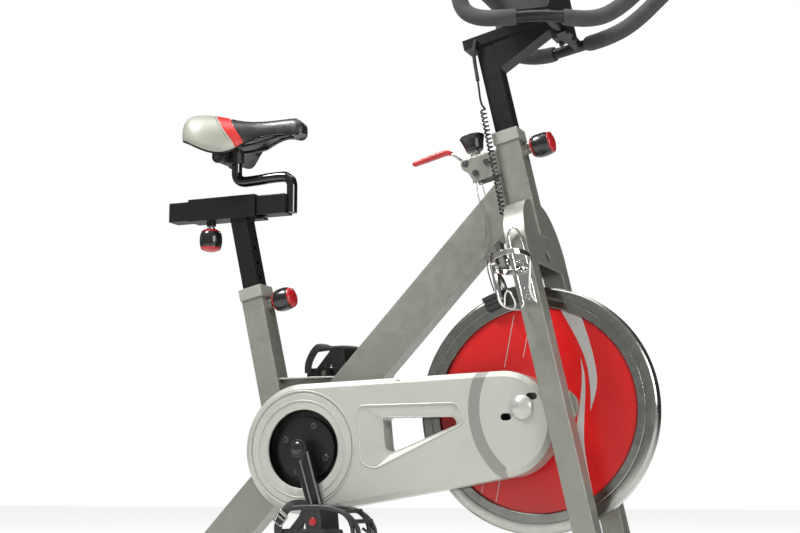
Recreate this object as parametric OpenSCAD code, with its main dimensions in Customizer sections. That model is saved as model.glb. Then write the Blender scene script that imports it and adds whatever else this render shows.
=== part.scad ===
// Indoor spin bike: welded frame, chain-driven flywheel, caliper brake, sliding saddle and handlebar.
// +X points forwards, +Y to the rider's left, +Z up, with the floor at z = 0.

/* [Base] */
// Height of the crank axis above the floor
crank_z = 300; // [290:1:320]
// Crank axis position along the bike, set so that the whole bike is centred on x = 0
crank_x = -194.4; // [-200:0.1:-185]
// Front and rear stabiliser length across the bike
base_w = 500; // [460:5:540]
// Stabiliser tube size along the bike
base_d = 80; // [70:1:90]
// Stabiliser tube height
base_h = 40; // [36:1:44]

/* [Frame tubes] */
// Outside width of the square seat tube and head tube
tube_w = 47; // [46:0.5:50]
// Wall thickness of the frame tubes
tube_t = 3; // [2:0.5:3.5]
// Backward lean of the seat tube in degrees
seat_lean = 12.9; // [12:0.1:14]
// Backward lean of the head tube and fork legs in degrees
head_lean = 12.6; // [12:0.1:14]
// Rise of the main tube in degrees
main_rise = 46.6; // [46:0.1:47]
// Depth of the main tube
main_d = 80; // [76:1:84]
// Width of the main tube
main_w = 40; // [36:1:44]
// Distance from the bike's centre plane to a fork leg's outer face
leg_out = 118; // [116:1:122]
// Width of a fork leg across the bike
leg_w = 42; // [38:1:44]
// Depth of a fork leg along the bike
leg_d = 40; // [36:1:42]

/* [Flywheel] */
// Flywheel radius
wheel_r = 228.5; // [220:0.5:232]
// Flywheel rim width
rim_w = 30; // [24:1:34]
// Radius of the painted centre disc
disc_r = 191; // [185:1:196]
// Sprocket teeth on the flywheel
small_teeth = 20; // [18:1:22]
// Chainring teeth
big_teeth = 52; // [50:1:52]

/* [Crank and pedals] */
// Crank arm length between centres
arm_len = 170; // [165:1:175]
// Crank angle at rest, measured forwards from straight down
arm_rest = 18; // [0:1:30]
// Pedal length along the bike
pedal_l = 96; // [86:1:100]
// Pedal width
pedal_w = 78; // [70:1:86]

/* [Seat] */
// Width of the square seat post
seat_post_w = 36; // [34:0.5:37]
// Length of the saddle
saddle_l = 272; // [262:1:282]
// Width of the saddle
saddle_w = 196; // [180:2:210]
// Saddle stem tube diameter
stem_dia = 22; // [20:0.5:24]

/* [Handlebar] */
// Width of the square handlebar post
bar_post_w = 38; // [36:0.5:38.5]
// Handlebar tube diameter
bar_dia = 22; // [20:1:24]
// Foam grip diameter
grip_dia = 31; // [29:1:33]
// Half width of the handlebar at the rider's end
bar_half = 130; // [120:1:140]

/* [Controls] */
// Diameter of the three pull knobs
knob_dia = 47; // [42:1:50]

/* [Hidden] */
$fn = 32;
floor_z = -crank_z;
base_top = floor_z + 62;
seat_x = -85;
head_x = 526;
main_x = -48.3;
axle_x = 443;
axle_z = 69;
chain_y = -52;
seat_top = 317;
head_top = 596;
collar_h = 22;
sleeve_x0 = -312;
sleeve_x1 = -153;
sleeve_z0 = 478;
sleeve_h = 47;
slide_h = 41;
front_x = head_x - tan(head_lean) * base_top;
rear_x = main_x + base_top / tan(main_rise) - 12;
pitch = 12.7;
big_r = pitch / (2 * sin(180 / big_teeth));
small_r = pitch / (2 * sin(180 / small_teeth));
pedal_x = arm_len * sin(arm_rest);
pedal_z = -arm_len * cos(arm_rest);
pad_angle = 105;
pad_turn = pad_angle - 90;
front_bolt = 30.5;
rear_bolt = 29;
cal_r = wheel_r + 57;
cal_x = axle_x + cal_r * cos(pad_angle);
cal_z = axle_z + cal_r * sin(pad_angle);

silver = [0.60, 0.60, 0.55];
guard_grey = [0.78, 0.78, 0.74];
black = [0.06, 0.06, 0.06];
soft_black = [0.10, 0.10, 0.10];
red = [0.72, 0.08, 0.09];
chrome = [0.80, 0.80, 0.82];
steel = [0.62, 0.63, 0.64];

// ---- shared helpers ----

module at_crank() translate([crank_x, 0, crank_z]) children();

// local frame on the seat tube's axis, s along it
module seat_axis(s) translate([seat_x, 0, 0]) rotate([0, -seat_lean, 0]) translate([0, 0, s]) children();

// local frame on the head tube's axis, s along it
module head_axis(s) translate([head_x, 0, 0]) rotate([0, -head_lean, 0]) translate([0, 0, s]) children();

// box between two corners
module block(a, b) translate(a) cube(b - a);

// cylinder along Y between two y values
module ycyl(x, z, r, y0, y1) translate([x, y0, z]) rotate([-90, 0, 0]) cylinder(r = r, h = y1 - y0);

// cylinder along local X between two x values
module xcyl(r, x0, x1) translate([x0, 0, 0]) rotate([0, 90, 0]) cylinder(r = r, h = x1 - x0);

// side-view profile given in x and z, as a plate between two y values
module side_plate(y0, y1) translate([0, y1, 0]) rotate([90, 0, 0]) linear_extrude(y1 - y0) children();

// profile given in y and s, as a plate between two local x values
module front_plate(x0, x1) translate([x0, 0, 0]) rotate([90, 0, 90]) linear_extrude(x1 - x0) children();

// round-cornered rectangle
module pad_2d(w, h, r) translate([-w / 2 + r, -h / 2 + r]) offset(r = r) square([w - 2 * r, h - 2 * r]);

// rounds a path's corners by cutting them
function smooth(p, n) = n == 0 ? p : smooth(concat([p[0]],
    [for (i = [0 : len(p) - 2]) each [0.75 * p[i] + 0.25 * p[i + 1], 0.25 * p[i] + 0.75 * p[i + 1]]],
    [p[len(p) - 1]]), n - 1);

function unit(v) = v / norm(v);
function heading(p, i) = unit(p[min(i + 1, len(p) - 1)] - p[max(i - 1, 0)]);

// closed solid through a list of rings that have the same number of points
module skin(rings) {
    m = len(rings[0]);
    n = len(rings);
    sides = [for (i = [0 : n - 2]) for (j = [0 : m - 1]) let (a = i * m + j, b = i * m + (j + 1) % m)
        each [[a, a + m, b + m], [a, b + m, b]]];
    first = [for (j = [0 : m - 1]) j];
    last = [for (j = [m - 1 : -1 : 0]) (n - 1) * m + j];
    polyhedron([for (ring = rings) each ring], concat([first], sides, [last]));
}

// round rod of radius r along path p; across is a direction the path never follows
module rod(p, r, across = [0, 1, 0], sides = 14) skin([for (i = [0 : len(p) - 1])
    let (t = heading(p, i), u = unit(cross(across, t)), v = cross(t, u))
    [for (j = [0 : sides - 1]) p[i] + r * (cos(360 * j / sides) * u + sin(360 * j / sides) * v)]]);

// ---- frame ----

module main_tube_body() translate([main_x, 0, 0]) rotate([0, -main_rise, 0]) difference() {
    translate([-360, -main_w / 2, -main_d / 2]) cube([1036, main_w, main_d]);
    translate([-361, -main_w / 2 + tube_t, -main_d / 2 + tube_t])
        cube([990, main_w - 2 * tube_t, main_d - 2 * tube_t]);
}

// one fork leg seen from the front, with its curved shoulder
module leg_2d(inset) difference() {
    union() {
        translate([-inset + leg_out - leg_w + 2 * inset, -275]) square([leg_w - 2 * inset, 638]);
        translate([24, 362]) intersection() {
            scale([leg_out - 24 - inset, 108 - inset]) circle(r = 1, $fn = 64);
            translate([inset - 24, 0]) square([leg_out, 120]);
        }
    }
    translate([24, 340]) scale([leg_out - leg_w - 24 + inset, 78 + inset]) circle(r = 1, $fn = 64);
    translate([-1, 240]) square([leg_out - leg_w + 1 + inset, 101]);
}

module leg_body() head_axis(0) difference() {
    front_plate(-leg_d / 2, leg_d / 2) leg_2d(0);
    front_plate(-leg_d / 2 + tube_t, leg_d / 2 - tube_t) translate([0, -2]) leg_2d(tube_t);
}

// crown sheet that closes the space between the two shoulders
module crown_2d() difference() {
    union() {
        for (m = [0, 1]) mirror([m, 0]) translate([24, 362]) intersection() {
            scale([leg_out - 25, 107]) circle(r = 1, $fn = 64);
            translate([-25, 0]) square([leg_out, 120]);
        }
        translate([-leg_out + leg_w, 338]) square([2 * (leg_out - leg_w), 26]);
    }
    translate([0, 361]) circle(r = 12);
}

// plate that carries the flywheel axle behind the fork leg
module dropout(y0, y1) difference() {
    union() {
        ycyl(axle_x, axle_z, 33, y0, y1);
        ycyl(axle_x + 67, axle_z, 32, y0, y1);
        block([axle_x, y0, axle_z - 32], [axle_x + 67, y1, axle_z + 32]);
    }
    block([axle_x - 8, y0 - 1, axle_z - 6.2], [axle_x + 8, y1 + 1, axle_z + 6.2]);
    for (s = [-8, 8]) ycyl(axle_x + s, axle_z, 6.2, y0 - 1, y1 + 1);
}

module caliper_lug() translate([cal_x, 0, cal_z]) rotate([0, -pad_turn, 0]) difference() {
    union() {
        xcyl(13, 7, 17);
        block([7, -13, 0], [17, 13, 60]);
    }
    xcyl(4.1, 6, 18);
}

module frame() color(silver) at_crank() difference() {
    union() {
        difference() {
            main_tube_body();
            block([-500, -60, floor_z - 60], [-200, 60, base_top]);
        }
        seat_axis(0) translate([-tube_w / 2, -tube_w / 2, 14]) cube([tube_w, tube_w, seat_top - 14]);
        head_axis(0) translate([-tube_w / 2, -tube_w / 2, 400]) cube([tube_w, tube_w, head_top - 400]);
        for (m = [0, 1]) mirror([0, m, 0]) difference() {
            leg_body();
            block([300, 0, floor_z - 60], [800, 200, base_top]);
        }
        for (x = [-leg_d / 2, leg_d / 2 - 4]) head_axis(0) front_plate(x, x + 4) crown_2d();
        ycyl(0, 0, 23, -34, 34);
        side_plate(-3, 3) polygon([[-118, 142], [34, 142], [-60, 30], [-88, 20]]);
        block([-114, -18, 140], [36, 18, 144]);
        for (m = [0, 1]) mirror([0, m, 0]) dropout(leg_out - leg_w - 8, leg_out - leg_w + 2);
        seat_axis(299) xcyl(10, tube_w / 2 - 1, tube_w / 2 + 10);
        head_axis(574) xcyl(10, tube_w / 2 - 1, tube_w / 2 + 10);
        caliper_lug();
        block([rear_x - 46, -38, base_top], [rear_x + 46, 38, base_top + 5]);
        for (s = [-1, 1]) translate([front_x, s * (leg_out - leg_w / 2), base_top])
            translate([-38, -30, 0]) cube([76, 60, 5]);
    }
    seat_axis(0) translate([-20, -20, 60]) cube([40, 40, seat_top]);
    head_axis(0) translate([-20.5, -20.5, 410]) cube([41, 41, head_top]);
    seat_axis(299) xcyl(6.2, 0, 40);
    head_axis(574) xcyl(6.2, 0, 40);
    ycyl(0, 0, 17.1, -40, 40);
    for (s = [-1, 1]) {
        translate([rear_x, s * rear_bolt, base_top - 1]) cylinder(r = 4.2, h = 8);
        for (d = [-front_bolt, front_bolt])
            translate([front_x + d, s * (leg_out - leg_w / 2), base_top - 1]) cylinder(r = 4.2, h = 8);
        translate([front_x, s * (leg_out - leg_w / 2), base_top - 1]) cylinder(r = 11, h = 8);
    }
    translate([rear_x, 0, base_top - 1]) cylinder(r = 11, h = 8);
}

// ---- base ----

module base_tube(x) difference() {
    block([x - base_d / 2, -base_w / 2 + 6, base_top - base_h], [x + base_d / 2, base_w / 2 - 6, base_top]);
    block([x - base_d / 2 + 2.5, -base_w / 2 + 5, base_top - base_h + 2.5],
        [x + base_d / 2 - 2.5, base_w / 2 - 5, base_top - 2.5]);
}

roller_y = base_w / 2 - 52;
roller_x = front_x + base_d / 2 + 30;
roller_z = floor_z + 34;
foot_y = base_w / 2 - 70;

module roller_lugs() for (s = [-1, 1]) for (d = [-15, 11]) {
    block([front_x + base_d / 2 - 1, s * roller_y + d, roller_z - 12],
        [roller_x, s * roller_y + d + 4, roller_z + 12]);
    ycyl(roller_x, roller_z, 12, s * roller_y + d, s * roller_y + d + 4);
}

module front_stabiliser() color(silver) at_crank() difference() {
    union() {
        base_tube(front_x);
        roller_lugs();
        for (s = [-1, 1]) ycyl(roller_x, roller_z, 5, s * roller_y - 19, s * roller_y + 19);
    }
    for (s = [-1, 1]) for (d = [-front_bolt, front_bolt])
        translate([front_x + d, s * (leg_out - leg_w / 2), base_top - 6]) cylinder(r = 4.2, h = 8);
}

module rear_stabiliser() color(silver) at_crank() difference() {
    base_tube(rear_x);
    for (s = [-1, 1]) {
        translate([rear_x, s * rear_bolt, base_top - 6]) cylinder(r = 4.2, h = 8);
        translate([rear_x, s * foot_y, base_top - base_h - 1]) cylinder(r = 5.1, h = 6);
    }
}

module end_cap(x, low) difference() {
    block([x - base_d / 2 - 3, base_w / 2 - 30, low], [x + base_d / 2 + 3, base_w / 2, base_top + 3]);
    block([x - base_d / 2 - 0.2, base_w / 2 - 31, base_top - base_h - 0.2],
        [x + base_d / 2 + 0.2, base_w / 2 - 5.8, base_top + 0.2]);
}

module end_caps() color(soft_black) at_crank() for (m = [0, 1]) mirror([0, m, 0]) {
    end_cap(front_x, floor_z);
    end_cap(rear_x, base_top - base_h - 4);
}

// carriage bolt standing in the stabiliser's top wall
module base_bolt() {
    cylinder(r = 4, h = 18);
    translate([0, 0, 5.2]) cylinder(r = 7, h = 2);
    translate([0, 0, 7.2]) cylinder(r = 6.2, h = 7, $fn = 6);
}

module base_bolts() color(chrome) at_crank() {
    for (s = [-1, 1]) translate([rear_x, s * rear_bolt, base_top]) base_bolt();
    for (s = [-1, 1]) for (d = [-front_bolt, front_bolt])
        translate([front_x + d, s * (leg_out - leg_w / 2), base_top]) base_bolt();
}

// levelling foot with its threaded stud
module foot(s) color(soft_black) at_crank() translate([rear_x, s * foot_y, floor_z]) {
    cylinder(r1 = 22, r2 = 19, h = 7);
    translate([0, 0, 7]) cylinder(r = 5, h = 34);
    translate([0, 0, 10]) cylinder(r = 9, h = 6, $fn = 6);
}

module foot_r() foot(-1);
module foot_l() foot(1);

module roller(s) color(soft_black) at_crank() difference() {
    union() {
        ycyl(roller_x, roller_z, 28, s * roller_y - 9, s * roller_y + 9);
        ycyl(roller_x, roller_z, 12, s * roller_y - 10.5, s * roller_y + 10.5);
    }
    ycyl(roller_x, roller_z, 5.1, s * roller_y - 12, s * roller_y + 12);
}

module roller_r() roller(-1);
module roller_l() roller(1);

// ---- collars ----

// plastic collar that caps a frame tube and guides the post inside it
module collar(post_w, bore_w) difference() {
    union() {
        translate([-26, -26, -2]) cube([52, 52, collar_h + 2]);
        translate([-bore_w / 2 + 0.2, -bore_w / 2 + 0.2, -9]) cube([bore_w - 0.4, bore_w - 0.4, 11]);
    }
    difference() {
        translate([-tube_w / 2 - 0.2, -tube_w / 2 - 0.2, -3]) cube([tube_w + 0.4, tube_w + 0.4, 3.2]);
        translate([-bore_w / 2 + 0.2, -bore_w / 2 + 0.2, -24]) cube([bore_w - 0.4, bore_w - 0.4, 28]);
    }
    translate([-post_w / 2 - 0.2, -post_w / 2 - 0.2, -30]) cube([post_w + 0.4, post_w + 0.4, 60]);
}

module seat_collar() color(silver) at_crank() seat_axis(seat_top) collar(seat_post_w, 40);
module head_collar() color(silver) at_crank() head_axis(head_top) collar(bar_post_w, 41);

// ---- chain guard ----

function leg_rear(z) = head_x - tan(head_lean) * z - leg_d / 2 / cos(head_lean);

// points of the belt-shaped outline around two circles, the first at the origin
function belt(r1, c, r2) = let (d = norm(c), base = atan2(c[1], c[0]), lap = asin((r1 - r2) / d),
    up = base + 90 - lap, down = base - 90 + lap, n = 40)
    concat([for (i = [0 : n]) let (a = up + (360 + down - up) * i / n) r1 * [cos(a), sin(a)]],
        [for (i = [0 : n]) let (a = down + (up - down) * i / n) c + r2 * [cos(a), sin(a)]]);

module guard_2d(inset, front_gap) intersection() {
    polygon(belt(124 - inset, [405, 40], 96 - inset));
    polygon([[-200, -200], [leg_rear(-200) - front_gap, -200], [leg_rear(200) - front_gap, 200],
        [-200, 200]]);
}

module window_2d(grow) offset(r = grow + 6, $fn = 24) offset(delta = -6)
    polygon([[164, 57], [310, 56], [318, 40], [184, -11], [170, -2]]);

module recess_2d(grow) offset(r = grow + 10, $fn = 24) offset(delta = -10)
    polygon([[118, 78], [318, 79], [334, 44], [154, -38], [126, -28]]);

guard_bosses = [[-100, 58], [-100, -58], [200, 122], [200, -79]];

module guard_outer() color(guard_grey) at_crank() difference() {
    union() {
        difference() {
            union() {
                side_plate(-88, -42) guard_2d(0, 2);
                hull() {
                    side_plate(-88.2, -88) guard_2d(0, 2);
                    side_plate(-97, -96.8) guard_2d(10, 2);
                }
            }
            side_plate(-88, -41) guard_2d(3, -20);
            side_plate(-94, -87) guard_2d(13, -20);
        }
        ycyl(0, 0, 98, -96, -87);
        hull() {
            side_plate(-96.8, -96.5) recess_2d(3);
            side_plate(-84, -83.8) window_2d(4);
        }
        side_plate(-84, -42) window_2d(3);
        for (b = guard_bosses) ycyl(b[0], b[1], 5, -95, -42);
        ycyl(axle_x, axle_z, 22, -96, -92);
    }
    ycyl(0, 0, 75, -100, -80);
    translate([0, -97.1, 0]) rotate([-90, 0, 0]) cylinder(r1 = 90, r2 = 74, h = 6.4);
    difference() {
        ycyl(0, 0, 108, -98, -95.4);
        ycyl(0, 0, 106, -99, -95);
    }
    hull() {
        side_plate(-97.5, -97) recess_2d(0);
        side_plate(-87, -86.8) window_2d(0.2);
    }
    side_plate(-90, -40) window_2d(0.4);
    for (b = guard_bosses) ycyl(b[0], b[1], 2.5, -58, -41);
    for (p = [[462, 88], [413, 52]]) {
        for (d = [-4, 4]) ycyl(p[0] + d, p[1], 6.5, -100, -92);
        block([p[0] - 4, -100, p[1] - 6.5], [p[0] + 4, -92, p[1] + 6.5]);
    }
    ycyl(axle_x, axle_z, 17, -100, -90);
    block([axle_x - 10, -79, axle_z - 34], [axle_x + 90, -67, axle_z + 34]);
}

module guard_inner() color(guard_grey) at_crank() difference() {
    side_plate(-41.5, -39) guard_2d(0.4, 2);
    ycyl(0, 0, 36, -45, -35);
    ycyl(axle_x, axle_z, 34, -45, -35);
    block([axle_x, -45, axle_z - 34], [axle_x + 80, -35, axle_z + 34]);
    side_plate(-45, -35) window_2d(3.5);
    for (b = guard_bosses) ycyl(b[0], b[1], 2.5, -45, -35);
}

module small_screw(len) {
    cylinder(r = 4.4, h = 2.6);
    translate([0, 0, -len]) cylinder(r = 2.4, h = len + 0.1);
}

cage_low = 270.5;
cage_high = 331;

module frame_screws() color(steel) at_crank() {
    for (b = guard_bosses) translate([b[0], -39, b[1]]) rotate([-90, 0, 0]) small_screw(16);
    for (s = [cage_low, cage_high]) head_axis(s)
        translate([0, -leg_out - 4.6, 0]) rotate([90, 0, 0]) small_screw(4);
}

module axle_cover() color(guard_grey) at_crank() {
    difference() {
        intersection() {
            translate([axle_x, -75.6, axle_z]) sphere(r = 31.4, $fn = 48);
            ycyl(axle_x, axle_z, 22, -120, -97.3);
        }
        ycyl(axle_x, axle_z, 14, -101, -97);
    }
    difference() {
        ycyl(axle_x, axle_z, 16.8, -98, -90);
        ycyl(axle_x, axle_z, 14, -101, -89);
    }
}

// ---- crank and drive ----

module bb_cups() color(steel) at_crank() for (m = [0, 1]) mirror([0, m, 0]) difference() {
    union() {
        ycyl(0, 0, 17, 20.5, 34);
        ycyl(0, 0, 21, 34, 38);
    }
    ycyl(0, 0, 8.55, 20, 39);
}

module spindle() color(steel) at_crank() {
    ycyl(0, 0, 8.5, -88, 88);
    rotate([0, -arm_rest, 0]) for (m = [0, 1]) mirror([0, m, 0]) translate([-6, 87.9, -6]) cube([12, 20, 12]);
}

module gear_2d(teeth, root, tip) {
    circle(r = root, $fn = 96);
    for (i = [0 : teeth - 1]) rotate(360 * i / teeth)
        polygon([[root - 1, -2.6], [tip, -1], [tip, 1], [root - 1, 2.6]]);
}

module chainring() color(steel) at_crank() difference() {
    side_plate(chain_y - 1.4, chain_y + 1.4) difference() {
        gear_2d(big_teeth, big_r - 5, big_r - 1.5);
        for (a = [45 : 90 : 315]) rotate(a) translate([74, 0]) circle(r = 15);
    }
    ycyl(0, 0, 8.6, -60, -40);
}

module ring_cover() color(black) at_crank() difference() {
    union() {
        ycyl(0, 0, 82, -68, -65);
        ycyl(0, 0, 60, -77, -68);
        ycyl(0, 0, 30, -65, chain_y - 1.5);
        for (a = [22 : 90 : 292]) rotate([0, a, 0]) ycyl(47, 0, 7, -79, -76);
    }
    ycyl(0, 0, 8.6, -85, -40);
    for (a = [22 : 90 : 292]) rotate([0, a, 0]) ycyl(47, 0, 3.5, -80, -77);
    ycyl(0, 0, 56, -74, -69);
}

// crank arm with its tapered eye, cap and pedal boss, drawn on the +Y side
module crank_arm() difference() {
    union() {
        ycyl(0, 0, 18, 88.2, 112);
        ycyl(0, 0, 12, 111, 116);
        hull() {
            translate([-16, 96, -18]) cube([32, 14, 4]);
            translate([-12.5, 100, -arm_len + 8]) cube([25, 13, 4]);
        }
        ycyl(0, -arm_len, 14, 100, 115);
    }
    translate([-6.05, 80, -6.05]) cube([12.1, 28, 12.1]);
    ycyl(0, -arm_len, 6.05, 99, 116);
}

module crank_arm_r() color(black) at_crank() rotate([0, -arm_rest, 0]) mirror([0, 1, 0]) crank_arm();
module crank_arm_l() color(black) at_crank() rotate([0, 180 - arm_rest, 0]) crank_arm();

module chain_2d(grow) polygon(belt(big_r + grow, [axle_x, axle_z], small_r + grow));

module chain() color(steel) at_crank() difference() {
    side_plate(chain_y - 4, chain_y + 4) chain_2d(4);
    side_plate(chain_y - 5, chain_y + 5) chain_2d(-1);
}

module sprocket() color(steel) at_crank() difference() {
    union() {
        side_plate(chain_y - 1.4, chain_y + 1.4) translate([axle_x, axle_z])
            gear_2d(small_teeth, small_r - 5, small_r - 1.5);
        ycyl(axle_x, axle_z, 24, -57, -25);
    }
    ycyl(axle_x, axle_z, 6.06, -60, -20);
}

module flywheel() color(red) at_crank() difference() {
    union() {
        difference() {
            ycyl(axle_x, axle_z, wheel_r, -rim_w / 2, rim_w / 2);
            ycyl(axle_x, axle_z, disc_r, -rim_w / 2 - 1, -rim_w / 2 + 4);
            ycyl(axle_x, axle_z, disc_r, rim_w / 2 - 4, rim_w / 2 + 1);
        }
        ycyl(axle_x, axle_z, 34, -24.9, 24);
    }
    ycyl(axle_x, axle_z, 6.06, -40, 40);
}

module flywheel_axle() color(steel) at_crank() ycyl(axle_x, axle_z, 6, -88, 88);

module axle_nuts() color(chrome) at_crank() for (m = [0, 1]) mirror([0, m, 0]) difference() {
    union() {
        ycyl(axle_x, axle_z, 11, leg_out - leg_w + 2.1, leg_out - leg_w + 4);
        translate([axle_x, leg_out - leg_w + 4, axle_z]) rotate([-90, 0, 0]) cylinder(r = 10, h = 8, $fn = 6);
    }
    ycyl(axle_x, axle_z, 6.03, 60, 90);
}

// ---- pedals ----

// pedal with toe cage, drawn on the +Y side with its bore on the axis at the origin
module pedal_body() {
    hw = pedal_l / 2;
    y0 = 119;
    y1 = y0 + pedal_w;
    difference() {
        union() {
            ycyl(0, 0, 12, y0, y1);
            for (y = [y0, y1 - 8]) block([-hw, y, -12], [hw, y + 8, 12]);
            for (x = [-hw, hw - 9]) block([x, y0, -12], [x + 9, y1, 12]);
            block([-hw, y0 + pedal_w / 2 - 4, -8], [hw, y0 + pedal_w / 2 + 4, 8]);
        }
        ycyl(0, 0, 6.1, y0 - 1, y1 - 8);
    }
    // toe cage: outer upright, rails and front hoops
    for (y = [y0 + 2, y1 - 6]) {
        side_plate(y, y + 4) polygon([[10, 11], [41, 11], [37, 50], [4, 50]]);
        side_plate(y, y + 4) polygon([[-26, 11], [-8, 11], [16, 42], [8, 50]]);
        rod(smooth([[-30, y + 2, 50], [0, y + 2, 52], [50, y + 2, 52], [88, y + 2, 44],
            [112, y + 2, 20], [116, y + 2, -4]], 2), 3.6, [0, 1, 0], 10);
    }
    for (p = [[116, -4], [108, 26]]) translate([p[0], y0 + 3, p[1]]) translate([-3.4, 0, -3.4])
        cube([6.8, pedal_w - 6, 6.8]);
    block([hw - 1, y0 + 14, -7], [116, y0 + 22, -1]);
    block([hw - 1, y1 - 22, -7], [116, y1 - 14, -1]);
}

module strap_body() rod(smooth([[-40, 124, 12.3], [-40, 124, 44], [-36, 130, 55], [-34, 158, 60],
    [-36, 188, 55], [-40, 194, 44], [-40, 194, 12.3]], 2), 3, [1, 0, 0], 8);

module pedal_axles() color(steel) at_crank() for (m = [0, 1])
    translate([m == 0 ? -pedal_x : pedal_x, 0, m == 0 ? -pedal_z : pedal_z]) mirror([0, m, 0]) {
        ycyl(0, 0, 6, 101, 176);
        ycyl(0, 0, 9, 115.2, 118.5);
    }

module pedal_r() color(soft_black) at_crank()
    translate([pedal_x, 0, pedal_z]) mirror([0, 1, 0]) pedal_body();
module pedal_l() color(soft_black) at_crank() translate([-pedal_x, 0, -pedal_z]) pedal_body();

module strap_r() color(soft_black) at_crank()
    translate([pedal_x, 0, pedal_z]) mirror([0, 1, 0]) strap_body();
module strap_l() color(soft_black) at_crank() translate([-pedal_x, 0, -pedal_z]) strap_body();

// ---- seat ----

post_hole_step = 32;
seat_hole = 198.5;
slide_pin_x = -268.5;

module seat_post() color(black) at_crank() difference() {
    union() {
        seat_axis(0) translate([-seat_post_w / 2, -seat_post_w / 2, 150])
            cube([seat_post_w, seat_post_w, 344]);
        block([sleeve_x0, -23.5, sleeve_z0], [sleeve_x1, 23.5, sleeve_z0 + sleeve_h]);
        translate([slide_pin_x, 0, sleeve_z0 - 9]) cylinder(r = 10, h = 10);
        block([sleeve_x1 - 30, -12, sleeve_z0 - 4], [sleeve_x1 + 14, 12, sleeve_z0 + 0.1]);
    }
    seat_axis(0) translate([-seat_post_w / 2 + 2.5, -seat_post_w / 2 + 2.5, 149])
        cube([seat_post_w - 5, seat_post_w - 5, 332]);
    for (i = [0 : 7]) seat_axis(seat_hole + i * post_hole_step) xcyl(5, 10, 30);
    block([sleeve_x0 - 1, -18.6, sleeve_z0 + 2.9], [sleeve_x1 + 20, 18.6, sleeve_z0 + slide_h + 3.1]);
    translate([slide_pin_x, 0, sleeve_z0 - 12]) cylinder(r = 6.2, h = 20);
}

stem_x0 = -78;
stem_x1 = -209;
arm_z = 562;

module saddle_slide() color(black) at_crank() {
    z0 = sleeve_z0 + 3;
    difference() {
        block([-362, -18.5, z0], [stem_x0 - 2, 18.5, z0 + slide_h]);
        block([-359, -16, z0 + 2.5], [stem_x0 - 12, 16, z0 + slide_h - 2.5]);
        translate([-340, 0, z0 - 1]) cylinder(r = 8, h = 5);
        for (x = [-320 : 26 : -190]) translate([x, 0, z0 - 1]) cylinder(r = 5, h = 5);
    }
    rod(smooth([[stem_x0, 0, z0], [stem_x0, 0, arm_z - 52], [stem_x0, 0, arm_z],
        [stem_x0 - 52, 0, arm_z - 1], [stem_x1 + 52, 0, arm_z - 4], [stem_x1, 0, arm_z - 5],
        [stem_x1, 0, arm_z + 40], [stem_x1, 0, arm_z + 66]], 3), stem_dia / 2, [0, 1, 0], 20);
}

tilt_x = -236;
tilt_z = 611;

// collar on the stem with the tilt pivot behind it
module stem_clamp() color(soft_black) at_crank() difference() {
    union() {
        translate([stem_x1, 0, tilt_z - 14]) cylinder(r = 15, h = 28);
        ycyl(tilt_x, tilt_z, 13, -13, 13);
        block([tilt_x, -8, tilt_z - 11], [stem_x1 - 6, 8, tilt_z + 11]);
    }
    translate([stem_x1, 0, tilt_z - 20]) cylinder(r = stem_dia / 2 + 0.1, h = 40);
    ycyl(tilt_x, tilt_z, 4.1, -14, 14);
}

rail_z = 627;

// cheeks either side of the collar that grip the rails, with their cross bolt
module rail_clamp() color(soft_black) at_crank() {
    for (m = [0, 1]) mirror([0, m, 0]) difference() {
        union() {
            ycyl(tilt_x, tilt_z, 13, 16, 30);
            block([tilt_x - 16, 16, tilt_z], [tilt_x + 18, 30, rail_z + 5.5]);
        }
        translate([tilt_x, 24, rail_z]) xcyl(3.9, -30, 30);
        ycyl(tilt_x, tilt_z, 4, 15, 31);
    }
    ycyl(tilt_x, tilt_z, 4, -34, 34);
    for (s = [-1, 1]) ycyl(tilt_x, tilt_z, 6.5, min(s * 30, s * 35), max(s * 30, s * 35));
}

nose_x = -46;

module saddle_rails() color(black) at_crank() for (m = [0, 1]) mirror([0, m, 0])
    rod(smooth([[nose_x - 36, 9, 645.2], [nose_x - 64, 12, 643], [-140, 18, 633], [-152, 24, 629],
        [-186, 24, rail_z], [-236, 24, rail_z], [-262, 24, rail_z], [-278, 34, 638],
        [-296, 46, 643.8]], 2), 3.5, [0, 0, 1], 10);

tail_mid = 664;
nose_mid = 652;
belly_z = 650;

// the saddle's outline at share t of its length, 0 at the tail and 1 at the nose
function taper(t) = 0.215 + 0.785 / (1 + exp((t - 0.45) * 12));
function tail_round(t) = t < 0.3 ? pow(1 - pow(1 - t / 0.3, 2.8), 0.45) : 1;
function nose_round(t) = t > 0.93 ? sqrt(1 - pow((t - 0.93) / 0.07, 2)) : 1;
function saddle_half(t) = saddle_w / 2 * taper(t) * tail_round(t) * nose_round(t);

// height z drawn in towards the middle of the rounded tail and nose
function drawn_in(t, z) = t < 0.12 ? tail_mid + (z - tail_mid) * sqrt(1 - pow(1 - t / 0.12, 2))
    : t > 0.9 ? nose_mid + (z - nose_mid) * sqrt(1 - pow((t - 0.9) / 0.1, 2)) : z;
function saddle_top(t) = drawn_in(t, 681 + 22 / (1 + exp((t - 0.38) * 14)));
function saddle_edge(t) = drawn_in(t, 648 - 6 * exp(-pow((t - 0.93) / 0.06, 2))
    - 40 * exp(-pow((t - 0.385) / (t < 0.385 ? 0.25 : 0.17), 2)));
function saddle_under(t, c) = drawn_in(t, belly_z) - (drawn_in(t, belly_z) - saddle_edge(t)) * pow(abs(c), 3);

saddle_rings = 24;
function share(i) = 0.5 - 0.497 * cos(180 * i / saddle_rings);
function along(t) = nose_x - saddle_l * (1 - t);

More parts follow.
